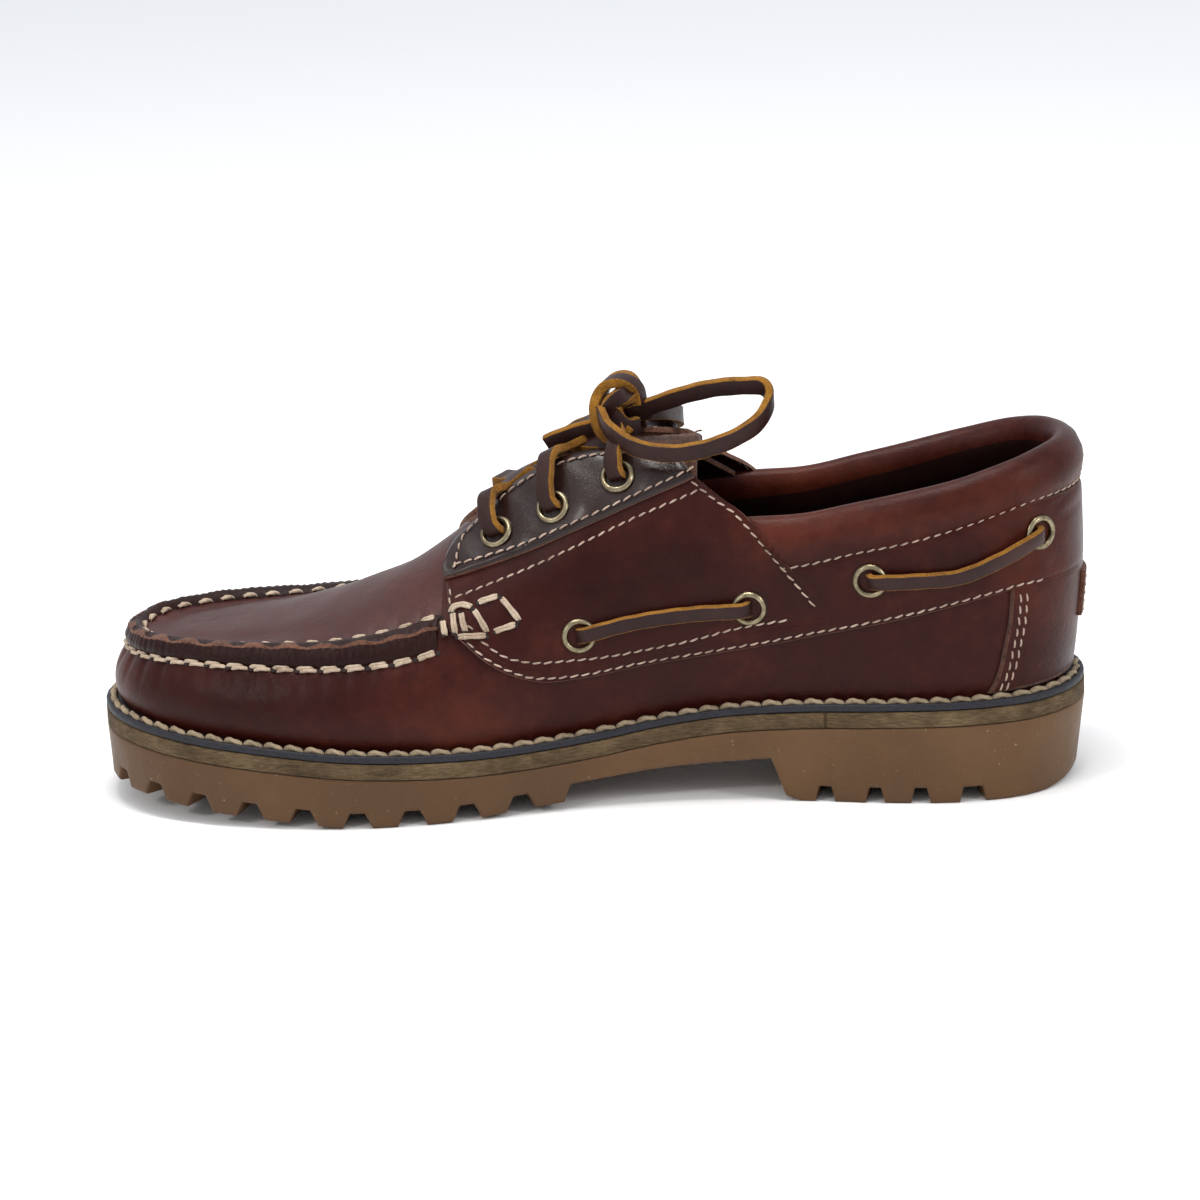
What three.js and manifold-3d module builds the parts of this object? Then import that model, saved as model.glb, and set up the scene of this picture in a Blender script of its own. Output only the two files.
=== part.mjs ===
// A three-eyelet boat shoe on a lug sole, for the right foot, standing empty on its sole.
// Millimetres. The toe points to -X, the inner side of the foot is -Y, and the ground is z = 0.
import * as THREE from "three";
import { mergeVertices } from "three/addons/utils/BufferGeometryUtils.js";
import Module from "manifold-3d";

const wasm = await Module();
wasm.setup();

// Driving sizes
const LENGTH = 300; // sole, heel to toe
const BALL_WIDTH = 106; // sole, at its widest
const HEEL_STACK = 24.5; // outsole under the midsole, at the heel
const TOE_SPRING = 7; // underside above the ground, at the toe
const BREAST_RISE = 13.3; // arch above the ground, just in front of the heel block
const LUG_DEPTH = 4.7;
const LUG_PITCH = 16.3;
const LUG_LENGTH = 14; // from the sole's edge inwards
const MIDSOLE = 4.8;
const WELT = 2.2;
const WELT_LEDGE = 4.8; // sole edge outside the upper
const WELT_WIDTH = 10;
const INSOLE = 3;
const INSTEP = 84; // ridge of the instep above the welt
const WALL = 2; // leather of the upper
const OVERLAY = 1.2; // leather of each panel laid on it
const SEAM_HEIGHT = 2.6; // hand-sewn seam round the plug
const TONGUE = 2.4;
const TONGUE_WIDTH = 52;
const THROAT_WIDTH = 26; // between the stays, at the second eyelets
const COLLAR_DEPTH = 13.5; // padded top line, above its stitching
const COLLAR_PAD = 3; // padding's thickness on each side of the wall
const EYELET_WIDTH = 10.6;
const EYELET_BORE = 6.8;
const LACE_WIDTH = 5.2;
const LACE_THICKNESS = 1.9;
const GAP = 0.3; // between pieces that meet

const LATERAL = 1;
const MEDIAL = -1;
const SIDES = { medial: MEDIAL, lateral: LATERAL };

// Rows of numbers under a heading of column names
function table(heading, rows) {
  const names = heading.split(" ");
  return rows.map((row) => Object.fromEntries(names.map((name, i) => [name, row[i]])));
}

// Sections from heel to toe. along and spine are shares of the length, medial and lateral (half widths) of
// the ball width, soleTop of the heel stack, and the rest of the instep: bulge and shoulder are measured
// inwards (In) and upwards (Up) from the foot of the wall, ridge upwards. crease is 1 where the plug meets
// the wall at an edge.
const SECTIONS = table(
  "along spine medial lateral soleTop bulgeIn bulgeUp medialIn lateralIn medialUp lateralUp ridge crease",
  [
    [0, 0.125, 0, 0, 1, -0.04, 0.55, 0.018, 0.018, 0.881, 0.881, 1.04, 0],
    [0.017, 0.126, 0.17, 0.17, 1, -0.038, 0.54, 0.019, 0.019, 0.877, 0.877, 1.04, 0],
    [0.053, 0.132, 0.278, 0.278, 1, -0.033, 0.48, 0.02, 0.02, 0.863, 0.863, 1.04, 0],
    [0.113, 0.152, 0.338, 0.34, 0.996, -0.026, 0.36, 0.012, 0.018, 0.808, 0.808, 1.02, 0],
    [0.2, 0.21, 0.338, 0.358, 0.975, -0.021, 0.32, 0.012, 0.042, 0.739, 0.739, 0.97, 0],
    [0.287, 0.287, 0.305, 0.373, 0.94, -0.021, 0.31, 0.006, 0.065, 0.686, 0.686, 0.95, 0],
    [0.36, 0.36, 0.294, 0.392, 0.886, -0.031, 0.31, 0, 0.095, 0.715, 0.705, 0.955, 0],
    [0.427, 0.427, 0.304, 0.413, 0.78, -0.031, 0.306, 0.024, 0.107, 0.748, 0.724, 0.977, 0],
    [0.487, 0.487, 0.334, 0.437, 0.66, -0.026, 0.295, 0.054, 0.107, 0.716, 0.693, 0.986, 0],
    [0.547, 0.547, 0.379, 0.46, 0.588, -0.021, 0.255, 0.071, 0.119, 0.585, 0.573, 0.917, 0],
    [0.607, 0.607, 0.436, 0.487, 0.571, -0.019, 0.212, 0.089, 0.131, 0.468, 0.456, 0.745, 0.5],
    [0.667, 0.667, 0.477, 0.5, 0.592, -0.021, 0.18, 0.095, 0.155, 0.394, 0.379, 0.574, 1],
    [0.74, 0.738, 0.5, 0.497, 0.645, -0.024, 0.166, 0.095, 0.167, 0.345, 0.327, 0.45, 1],
    [0.813, 0.805, 0.481, 0.467, 0.722, -0.024, 0.155, 0.095, 0.17, 0.315, 0.296, 0.357, 1],
    [0.88, 0.855, 0.436, 0.41, 0.792, -0.019, 0.147, 0.089, 0.149, 0.293, 0.279, 0.306, 1],
    [0.937, 0.875, 0.355, 0.311, 0.857, -0.014, 0.126, 0.083, 0.119, 0.271, 0.262, 0.276, 1],
    [0.977, 0.881, 0.239, 0.193, 0.898, -0.012, 0.11, 0.077, 0.089, 0.25, 0.249, 0.262, 1],
    [1, 0.882, 0.024, -0.024, 0.914, -0.011, 0.106, 0.071, 0.071, 0.238, 0.238, 0.258, 1],
  ],
);
const SPINE_SHIFT = 2.5; // ridge of the instep, towards the inner side

// Underside of the sole: arch is a share of the breast's rise, toe a share of the toe spring.
const UNDERSIDE = table("along arch toe", [
  [0, 0.2, 0], [0.013, 0.09, 0], [0.035, 0, 0], [0.288, 0, 0], [0.302, 0.12, 0], [0.316, 1, 0],
  [0.42, 0.84, 0], [0.515, 0.6, 0], [0.522, 0.19, 0], [0.6, 0.05, 0], [0.65, 0, 0], [0.73, 0, 0],
  [0.8, 0, 0.27], [0.87, 0, 0.55], [0.94, 0, 0.85], [1, 0, 1],
]);

// Edges of the panels, seen from the side: along as a share of the length, up above the welt as a share
// of the instep.
const TOP_LINE = table("along up", [
  [-0.03, 0.882], [0.04, 0.875], [0.07, 0.85], [0.121, 0.8], [0.173, 0.758], [0.224, 0.722],
  [0.277, 0.686], [0.333, 0.684],
]);
const COLLAR_STITCH = table("along up", [
  [-0.03, 0.727], [0.044, 0.709], [0.07, 0.69], [0.122, 0.636], [0.174, 0.586], [0.225, 0.552],
  [0.277, 0.511], [0.34, 0.49],
]);
const BAND_FOOT = table("along up", [
  [-0.03, 0.407], [0.045, 0.4], [0.071, 0.394], [0.123, 0.356], [0.175, 0.313], [0.253, 0.258],
  [0.332, 0.217], [0.396, 0.206], [0.46, 0.211], [0.504, 0.211], [0.545, 0.225], [0.569, 0.257],
  [0.594, 0.311], [0.613, 0.37], [0.632, 0.425],
]);
const QUARTER_FOOT = table("along up", [
  [0.247, 0.302], [0.332, 0.276], [0.396, 0.246], [0.459, 0.246], [0.522, 0.262], [0.547, 0.27],
  [0.575, 0.3], [0.597, 0.356], [0.612, 0.41], [0.634, 0.427],
]);
const QUARTER_BACK = table("along up", [
  [0.247, 0.302], [0.292, 0.507], [0.333, 0.687], [0.358, 0.757], [0.383, 0.83], [0.398, 0.875],
]);
const STAY_FOOT = table("along up", [
  [0.385, 0.83], [0.393, 0.82], [0.479, 0.747], [0.56, 0.65], [0.634, 0.56],
]);
const STAY_FRONT = 0.636; // front edge of stay and quarter, as a share of the length
const COUNTER_FRONT = table("along up", [
  [0.1, 0], [0.089, 0.08], [0.082, 0.186], [0.077, 0.28], [0.074, 0.42],
]);
// Half of the gap between the stays, seen from above: width is a share of the throat's width.
const THROAT = table("along width", [
  [0.36, 0.84], [0.395, 0.79], [0.44, 0.64], [0.487, 0.54], [0.547, 0.5], [0.59, 0.47], [0.615, 0.38],
  [0.628, 0.2],
]);
const LACE_EYELETS = [
  { name: "front", along: 0.581, up: 0.711 },
  { name: "middle", along: 0.524, up: 0.794 },
  { name: "back", along: 0.46, up: 0.867 },
];
const SIDE_EYELETS = [
  { name: "quarter_front", along: 0.503, up: 0.365 },
  { name: "quarter_back", along: 0.333, up: 0.363 },
  { name: "band_front", along: 0.212, up: 0.451 },
  { name: "band_back", along: 0.047, up: 0.585 },
];

// Smooth curve through values at knots, as a function of the knots' variable
function smoothCurve(knots, values) {
  const last = knots.length - 1;
  const slope = (i) => (values[i + 1] - values[i]) / (knots[i + 1] - knots[i]);
  const tangents = knots.map((_, i) => {
    if (i === 0) return slope(0);
    if (i === last) return slope(last - 1);
    const before = knots[i] - knots[i - 1];
    const after = knots[i + 1] - knots[i];
    return (slope(i) * before + slope(i - 1) * after) / (before + after);
  });
  return (x) => {
    let i = 0;
    while (i < last - 1 && x > knots[i + 1]) i += 1;
    const span = knots[i + 1] - knots[i];
    const f = (x - knots[i]) / span;
    if (f < 0) return values[0] + tangents[0] * (x - knots[0]);
    if (f > 1) return values[last] + tangents[last] * (x - knots[last]);
    return (
      values[i] * (1 + 2 * f) * (1 - f) ** 2 +
      values[i + 1] * f * f * (3 - 2 * f) +
      span * (tangents[i] * f * (1 - f) ** 2 - tangents[i + 1] * f * f * (1 - f))
    );
  };
}

// Straight lines through values at knots
function bentLine(knots, values) {
  return (x) => {
    let i = 0;
    while (i < knots.length - 2 && x > knots[i + 1]) i += 1;
    const f = (x - knots[i]) / (knots[i + 1] - knots[i]);
    return values[i] + (values[i + 1] - values[i]) * THREE.MathUtils.clamp(f, 0, 1);
  };
}

// The place where a rising function reaches a target
function solve(rising, target, low, high) {
  for (let i = 0; i < 40; i += 1) {
    const middle = (low + high) / 2;
    if (rising(middle) < target) low = middle;
    else high = middle;
  }
  return (low + high) / 2;
}

// Each section's place on the way from heel (0) to toe (1) follows the mean outline, so both sides share it.
function sectionPlaces() {
  const ways = [0];
  for (let i = 1; i < SECTIONS.length; i += 1) {
    const [a, b] = [SECTIONS[i - 1], SECTIONS[i]];
    const forward = (b.along - a.along) * LENGTH;
    const across = ((b.medial + b.lateral - a.medial - a.lateral) / 2) * BALL_WIDTH;
    ways.push(ways[i - 1] + Math.hypot(forward, across));
  }
  return ways.map((way) => way / ways[ways.length - 1]);
}
const PLACES = sectionPlaces();

// A column's curve round one side runs on over heel and toe into the other side.
function sideCurve(here, there) {
  const end = SECTIONS.length - 1;
  const knots = [-PLACES[1], ...PLACES, 2 - PLACES[end - 1]];
  const values = [there(SECTIONS[1]), ...SECTIONS.map(here), there(SECTIONS[end - 1])];
  return smoothCurve(knots, values);
}

function curvesOfSide(side) {
  const mine = side === LATERAL ? "lateral" : "medial";
  const other = side === LATERAL ? "medial" : "lateral";
  const shared = (column, size) => {
    const value = (row) => row[column] * size;
    return sideCurve(value, value);
  };
  const own = (column, size) =>
    sideCurve((row) => row[mine + column] * size, (row) => row[other + column] * size);
  return {
    along: shared("along", LENGTH),
    across: sideCurve(
      (row) => side * row[mine] * BALL_WIDTH,
      (row) => -side * row[other] * BALL_WIDTH,
    ),
    spine: shared("spine", LENGTH),
    bulgeIn: shared("bulgeIn", INSTEP),
    bulgeUp: shared("bulgeUp", INSTEP),
    shoulderIn: own("In", INSTEP),
    shoulderUp: own("Up", INSTEP),
    ridge: shared("ridge", INSTEP),
    crease: shared("crease", 1),
  };
}
const CURVES = { [LATERAL]: curvesOfSide(LATERAL), [MEDIAL]: curvesOfSide(MEDIAL) };

// Heights of the sole's layers, by the distance from the heel
const outsoleTop = smoothCurve(
  SECTIONS.map((row) => row.along * LENGTH),
  SECTIONS.map((row) => row.soleTop * HEEL_STACK),
);
const midsoleBottom = (along) => outsoleTop(along) + GAP;
const midsoleTop = (along) => midsoleBottom(along) + MIDSOLE;
const weltBottom = (along) => midsoleTop(along) + GAP;
const weltTop = (along) => weltBottom(along) + WELT;
const insoleBottom = (along) => weltTop(along) + GAP;
const insoleTop = (along) => insoleBottom(along) + INSOLE;
const underside = bentLine(
  UNDERSIDE.map((row) => row.along * LENGTH),
  UNDERSIDE.map((row) => row.arch * BREAST_RISE + row.toe * TOE_SPRING),
);

const xOf = (along) => LENGTH / 2 - along;
const alongOf = (x) => LENGTH / 2 - x;

// Sides run on into each other past heel and toe.
function foldPlace(side, place) {
  if (place < 0) return [-side, -place];
  if (place > 1) return [-side, 2 - place];
  return [side, place];
}

function edgePoint(side, place) {
  const [s, p] = foldPlace(side, place);
  return new THREE.Vector2(xOf(CURVES[s].along(p)), CURVES[s].across(p));
}

// The sole's edge moved inwards, seen from above
function insetPoint(side, place, inset) {
  const step = 1e-3;
  const ahead = edgePoint(side, place + step).sub(edgePoint(side, place - step)).normalize();
  const outward = new THREE.Vector2(ahead.y, -ahead.x).multiplyScalar(side);
  return edgePoint(side, place).addScaledVector(outward, -inset);
}

const BULGE_AT = 0.3; // shares of the way up the wall, from its foot (0) to the ridge (1)
const SHOULDER_AT = 0.6;

// Point of the upper's outer face
function facePoint(sideAsked, placeAsked, rise) {
  const [side, place] = foldPlace(sideAsked, placeAsked);
  const c = CURVES[side];
  const foot = insetPoint(side, place, WELT_LEDGE);
  const shift = SPINE_SHIFT * Math.min(1, c.spine(place) / (LENGTH * 0.3));
  const spine = new THREE.Vector2(xOf(c.spine(place)), -shift);
  const reach = spine.clone().sub(foot);
  const radius = reach.length();
  const knots = [0, BULGE_AT, SHOULDER_AT, 1];
  const ins = [0, c.bulgeIn(place), c.shoulderIn(place), radius];
  const ups = [0, c.bulgeUp(place), c.shoulderUp(place), c.ridge(place)];
  const inward = profile(knots, ins, c.crease(place), 1)(rise);
  const upward = profile(knots, ups, c.crease(place), 0)(rise);
  const plan = foot.addScaledVector(reach.normalize(), inward);
  return new THREE.Vector3(plan.x, plan.y, weltTop(c.along(place)) + GAP + upward);
}

// Curve from foot over bulge and shoulder to the ridge. It is smooth at the shoulder, or breaks there
// where crease is 1; endSlope 0 lays it level at the ridge.
function profile(knots, values, crease, endSlope) {
  const [k0, k1, k2, k3] = knots;
  const [v0, v1, v2, v3] = values;
  const low = (v1 - v0) / (k1 - k0);
  const mid = (v2 - v1) / (k2 - k1);
  const top = (v3 - v2) / (k3 - k2);
  const atBulge = (low * (k2 - k1) + mid * (k1 - k0)) / (k2 - k0);
  const smooth = (mid * (k3 - k2) + top * (k2 - k1)) / (k3 - k1);
  const below = THREE.MathUtils.lerp(smooth, 2 * mid - atBulge, crease);
  const above = THREE.MathUtils.lerp(smooth, endSlope ? top : 2 * top, crease);
  const pieces = [
    [k0, k1, v0, v1, 2 * low - atBulge, atBulge],
    [k1, k2, v1, v2, atBulge, below],
    [k2, k3, v2, v3, above, top * endSlope],
  ];
  return (x) => {
    const [a, b, from, to, start, end] = pieces[x < k1 ? 0 : x < k2 ? 1 : 2];
    const f = (x - a) / (b - a);
    return (
      from * (1 + 2 * f) * (1 - f) ** 2 +
      to * f * f * (3 - 2 * f) +
      (b - a) * (start * f * (1 - f) ** 2 - end * f * f * (1 - f))
    );
  };
}

// Point at a distance outside the upper's outer face, or inside it where the distance is negative
function offsetPoint(sideAsked, placeAsked, rise, distance) {
  const [side, place] = foldPlace(sideAsked, placeAsked);
  const step = 2e-3;
  const point = facePoint(side, place, rise);
  const low = Math.max(rise - step, 0);
  const high = Math.min(rise + step, 1);
  const along = facePoint(side, place + step, rise).sub(facePoint(side, place - step, rise));
  const up = facePoint(side, place, high).sub(facePoint(side, place, low));
  if (rise > 1 - step) {
    const back = facePoint(side, place - step, 1);
    const front = facePoint(side, place + step, 1);
    along.set(front.x - back.x, 0, front.z - back.z);
    up.set(0, -side, 0);
    if (Math.abs(along.x) < 0.02) along.set(-1, 0, 0);
  }
  const normal = new THREE.Vector3().crossVectors(along, up).multiplyScalar(side).normalize();
  return point.addScaledVector(normal, distance);
}

// Closed solid out of triangles
function solidFrom(triangles) {
  const flat = new Float32Array(triangles.length * 9);
  triangles.forEach((triangle, i) => triangle.forEach((p, j) => p.toArray(flat, i * 9 + j * 3)));
  const loose = new THREE.BufferGeometry().setAttribute("position", new THREE.BufferAttribute(flat, 3));
  const merged = mergeVertices(loose, 1e-3);
  const kept = [];
  for (let i = 0; i < merged.index.count; i += 3) {
    const [a, b, c] = [0, 1, 2].map((j) => merged.index.getX(i + j));
    if (a !== b && b !== c && c !== a) kept.push(a, b, c);
  }
  return closedSolid(merged.attributes.position.array, kept);
}

// A mesh whose faces point inwards has a negative volume, and is turned round.
function closedSolid(vertices, corners) {
  const make = (order) =>
    new wasm.Manifold(
      new wasm.Mesh({
        numProp: 3,
        vertProperties: Float32Array.from(vertices),
        triVerts: Uint32Array.from(order),
      }),
    );
  const made = make(corners);
  if (made.volume() > 0) return made;
  const turned = [];
  for (let i = 0; i < corners.length; i += 3) turned.push(corners[i], corners[i + 2], corners[i + 1]);
  return make(turned);
}

function fromGeometry(geometry) {
  geometry.deleteAttribute("normal");
  geometry.deleteAttribute("uv");
  const merged = mergeVertices(geometry, 1e-3);
  return closedSolid(merged.attributes.position.array, Array.from(merged.index.array));
}

// Two triangles, split along the shorter diagonal, so that surfaces one over the other split alike
function quad(a, b, c, d) {
  if (a.distanceTo(c) < b.distanceTo(d)) return [[a, b, c], [a, c, d]];
  return [[a, b, d], [b, c, d]];
}

// Skin between two rows of points
function band(first, second, closed) {
  const count = first.length;
  const faces = [];
  for (let i = 0; i < (closed ? count : count - 1); i += 1) {
    const j = (i + 1) % count;
    faces.push(...quad(first[i], first[j], second[j], second[i]));
  }
  return faces;
}

// Rows of points skinned in turn, and closed round from the last row to the first
function ringSolid(rows, closed) {
  const faces = rows.flatMap((row, i) => band(row, rows[(i + 1) % rows.length], closed));
  if (!closed) {
    const end = rows[0].length - 1;
    faces.push(...fan(rows.map((row) => row[0])), ...fan(rows.map((row) => row[end]).reverse()));
  }
  return solidFrom(faces);
}

// Cap over a ring of section points
function fan(ring) {
  const flat = flattened(ring);
  return THREE.ShapeUtils.triangulateShape(flat, []).map(([a, b, c]) => [ring[a], ring[b], ring[c]]);
}

// A ring's points in its own plane
function flattened(ring) {
  const normal = new THREE.Vector3();
  ring.forEach((p, i) => normal.add(new THREE.Vector3().crossVectors(p, ring[(i + 1) % ring.length])));
  normal.normalize();
  const u = ring[1].clone().sub(ring[0]).projectOnPlane(normal).normalize();
  const v = new THREE.Vector3().crossVectors(normal, u);
  return ring.map((p) => new THREE.Vector2(p.dot(u), p.dot(v)));
}

// Ring of the sole's outline. A stepped ring takes its height from the edge beside it, so that its steps
// stay square to the edge.
function soleRing(places, inset, height, stepped = false) {
  const point = (side, place) => {
    const edge = alongOf(edgePoint(side, place).x);
    const plan = insetPoint(side, place, inset(edge));
    return new THREE.Vector3(plan.x, plan.y, height(stepped ? edge : alongOf(plan.x)));
  };
  const inner = places.slice(1, -1);
  return [
    point(LATERAL, 0),
    ...inner.map((place) => point(LATERAL, place)),
    point(LATERAL, 1),
    ...inner.toReversed().map((place) => point(MEDIAL, place)),
  ];
}

// Cap of a ring, laid across from side to side
function ladder(ring) {
  const count = ring.length;
  const faces = [];
  for (let i = 0; i < count / 2; i += 1) {
    const [a, b] = [ring[i], ring[i + 1]];
    const [c, d] = [ring[(count - i - 1) % count], ring[(count - i) % count]];
    faces.push(...quad(a, b, c, d));
  }
  return faces;
}

function layer(rings) {
  const walls = rings.slice(1).flatMap((ring, i) => band(rings[i], ring, true));
  const top = ladder(rings[0]).map((t) => t.toReversed());
  return solidFrom([...walls, ...top, ...ladder(rings[rings.length - 1])]);
}

const constant = (value) => () => value;

// Even steps from heel to toe
function evenPlaces(count) {
  return Array.from({ length: count + 1 }, (_, i) => i / count);
}

const placeAt = (along) => solve(CURVES[LATERAL].along, along, 0, 1);

function outsolePlaces() {
  const corners = UNDERSIDE.map((row) => placeAt(row.along * LENGTH)).slice(1, -1);
  const even = evenPlaces(20).filter((place) => corners.every((c) => Math.abs(c - place) > 0.012));
  return [...even, ...corners].sort((a, b) => a - b);
}

// The block's wall leans in towards the ground, most at the heel.
const soleTaper = bentLine([0, LENGTH * 0.15, LENGTH * 0.35, LENGTH], [2.6, 1.8, 1.2, 0.5]);
const EDGE_ROUND = 1.2;

function outsoleBody() {
  const places = outsolePlaces();
  return layer([
    soleRing(places, constant(0), outsoleTop),
    soleRing(places, soleTaper, (along) => underside(along) + EDGE_ROUND, true),
    soleRing(places, (along) => soleTaper(along) + EDGE_ROUND, underside, true),
  ]);
}

// Way round the sole's edge, for what repeats along it: from the inner waist round the toe
function edgeWalk(from, to) {
  const steps = 400;
  const points = [];
  for (let i = 0; i <= steps; i += 1) {
    const place = from + ((to - from) * i) / steps;
    points.push({ place, at: edgePoint(MEDIAL, place) });
  }
  let way = 0;
  const ways = points.map((p, i) => {
    if (i > 0) way += p.at.distanceTo(points[i - 1].at);
    return way;
  });
  return { length: way, placeAt: bentLine(ways, points.map((p) => p.place)) };
}

// Solid between two rings of points
function prism(first, second) {
  return solidFrom([...band(first, second, true), ...fan(first).map((t) => t.toReversed()), ...fan(second)]);
}

// Block with a wide mouth, to cut a notch between two lugs
function notch(place, rootWidth, mouthWidth, length) {
  const along = alongOf(edgePoint(MEDIAL, place).x);
  const edge = insetPoint(MEDIAL, place, -LUG_DEPTH / 2);
  const inner = insetPoint(MEDIAL, place, length);
  const across = inner.clone().sub(edge).normalize();
  const side = new THREE.Vector2(-across.y, across.x);
  const root = underside(along) + LUG_DEPTH;
  const mouth = underside(along) - LUG_DEPTH / 2;
  const corner = (base, half, z) =>
    new THREE.Vector3(base.x + side.x * half, base.y + side.y * half, z);
  const section = (base, slope) => [
    corner(base, -rootWidth / 2, root - slope),
    corner(base, rootWidth / 2, root - slope),
    corner(base, mouthWidth / 2, mouth),
    corner(base, -mouthWidth / 2, mouth),
  ];
  return prism(section(edge, 0), section(inner, LUG_DEPTH * 0.3));
}

// Notches in the heel block's edge on each side: width as a share of the lugs' pitch
const HEEL_NOTCHES = table("along width", [[0.263, 0.22], [0.213, 0.22], [0.167, 0.22], [0.113, 0.37]]);

function edgeNotches() {
  const start = placeAt(LENGTH * 0.564);
  const walk = edgeWalk(start, 2 - start);
  const count = Math.round(walk.length / LUG_PITCH);
  const pitch = walk.length / count;
  const cuts = [];
  for (let i = 0; i <= count; i += 1) {
    cuts.push(notch(walk.placeAt(i * pitch), LUG_PITCH * 0.27, LUG_PITCH * 0.55, LUG_LENGTH));
  }
  for (const row of HEEL_NOTCHES) {
    const width = row.width * LUG_PITCH;
    for (const place of [placeAt(LENGTH * row.along), -placeAt(LENGTH * row.along)]) {
      cuts.push(notch(place, width, width + LUG_DEPTH / 2, LUG_LENGTH));
    }
  }
  return cuts;
}

// Box in plan, cut up into the tread from below
function treadBar(from, to, width, depth) {
  const way = to.clone().sub(from).normalize();
  const side = new THREE.Vector2(-way.y, way.x).multiplyScalar(width / 2);
  const plan = [from.clone().add(side), to.clone().add(side), to.clone().sub(side), from.clone().sub(side)];
  const at = (z) => plan.map((p) => new THREE.Vector3(p.x, p.y, z(alongOf(p.x))));
  return prism(at((along) => underside(along) + depth), at((along) => underside(along) - depth));
}

// Grooves between the edge lugs and the middle of the tread
function treadChannel(from, to, steps) {
  const width = 3.4;
  const rows = [];
  for (let i = 0; i <= steps; i += 1) {
    const place = from + ((to - from) * i) / steps;
    const along = alongOf(edgePoint(MEDIAL, place).x);
    const outer = insetPoint(MEDIAL, place, LUG_LENGTH);
    const inner = insetPoint(MEDIAL, place, LUG_LENGTH + width);
    const root = underside(along) + LUG_DEPTH;
    const mouth = underside(along) - LUG_DEPTH;
    rows.push([
      new THREE.Vector3(outer.x, outer.y, root),
      new THREE.Vector3(inner.x, inner.y, root),
      new THREE.Vector3(inner.x, inner.y, mouth),
      new THREE.Vector3(outer.x, outer.y, mouth),
    ]);
  }
  const strips = [0, 1, 2, 3].map((corner) => rows.map((row) => row[corner]));
  return ringSolid(strips, false);
}

function treadCuts() {
  const foreStart = placeAt(LENGTH * 0.53);
  const heelEnd = placeAt(LENGTH * 0.305);
  const cuts = [treadChannel(foreStart, 2 - foreStart, 16), treadChannel(-heelEnd, heelEnd, 12)];
  for (const share of [0.59, 0.66, 0.73, 0.8, 0.865]) cuts.push(treadGroove(share, 4.2));
  for (const share of [0.12, 0.19, 0.26]) cuts.push(treadGroove(share, 3.4));
  return cuts;
}

function treadGroove(share, width) {
  const place = placeAt(LENGTH * share);
  const inset = LUG_LENGTH + 1;
  const [from, to] = [MEDIAL, LATERAL].map((side) => insetPoint(side, place, inset));
  return treadBar(from, to, width, LUG_DEPTH * 0.8);
}

function outsole() {
  return [...edgeNotches(), ...treadCuts()].reduce((body, cut) => body.subtract(cut), outsoleBody());
}

function midsole() {
  const places = evenPlaces(18);
  return layer([soleRing(places, constant(0), midsoleTop), soleRing(places, constant(0), midsoleBottom)]);
}

function welt() {
  const places = evenPlaces(18);
  const inner = constant(WELT_WIDTH);
  return ringSolid(
    [
      soleRing(places, constant(GAP), weltTop),
      soleRing(places, constant(GAP), weltBottom),
      soleRing(places, inner, weltBottom),
      soleRing(places, inner, weltTop),
    ],
    true,
  );
}

const BED_CLEARANCE = 1.6; // the wall leans in a little over the footbed

// The footbed's foot fills the welt's ring, and its top reaches the wall.
function insole() {
  const places = evenPlaces(18);
  const filler = constant(WELT_WIDTH + GAP);
  const bed = constant(WELT_LEDGE + WALL + BED_CLEARANCE);
  return layer([
    soleRing(places, bed, insoleTop),
    soleRing(places, bed, insoleBottom),
    soleRing(places, filler, insoleBottom),
    soleRing(places, filler, weltBottom),
  ]);
}

const STATIONS = 20; // from heel to toe on each side
const RISES = [0, 0.1, 0.21, 0.34, 0.47, SHOULDER_AT, 0.71, 0.85, 1];

// Columns of the upper from one place to another, round the heel where the first is negative
function columnsBetween(from, to) {
  const columns = [];
  for (let i = Math.round(from * STATIONS); i <= Math.round(to * STATIONS); i += 1) {
    columns.push(i / STATIONS);
  }
  return columns;
}

// Closed skin of the whole foot between two distances from the upper's face
function lastShell(outside, inside) {
  const skin = (distance) =>
    RISES.map((rise) => {
      const ring = [];
      for (let i = 0; i < 2 * STATIONS; i += 1) {
        const lateral = i <= STATIONS;
        const place = lateral ? i / STATIONS : 2 - i / STATIONS;
        const side = lateral || rise === 1 ? LATERAL : MEDIAL;
        ring.push(offsetPoint(side, place, rise, distance));
      }
      return ring;
    });
  const [outer, inner] = [skin(outside), skin(inside)];
  const rows = [...outer.toReversed(), ...inner];
  return solidFrom(rows.slice(1).flatMap((row, i) => band(rows[i], row, true)));
}

// Piece of leather between two distances from the upper's face
function patch(side, columns, rises, outside, inside) {
  const row = (rise, distance) => columns.map((place) => offsetPoint(side, place, rise, distance));
  const outer = rises.map((rise) => row(rise, outside));
  const inner = rises.map((rise) => row(rise, inside));
  return ringSolid([...outer, ...inner.toReversed()], false);
}

const sideHeight = (along, up) => weltTop(along) + up * INSTEP;
const sidePoint = (row) => new THREE.Vector2(xOf(row.along * LENGTH), sideHeight(row.along * LENGTH, row.up));

// Line of a table as smooth points, seen from the side
function sideLine(table, steps, shift = 0) {
  const count = table.length - 1;
  const knots = table.map((_, i) => i);
  const along = smoothCurve(knots, table.map((row) => row.along));
  const up = smoothCurve(knots, table.map((row) => row.up));
  const points = [];
  for (let i = 0; i <= steps; i += 1) {
    const at = (count * i) / steps;
    const point = sidePoint({ along: along(at), up: up(at) });
    point.y += shift;
    points.push(point);
  }
  return points;
}

function extruded(points, depth) {
  return new THREE.ExtrudeGeometry(new THREE.Shape(points), { depth, bevelEnabled: false });
}

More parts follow.
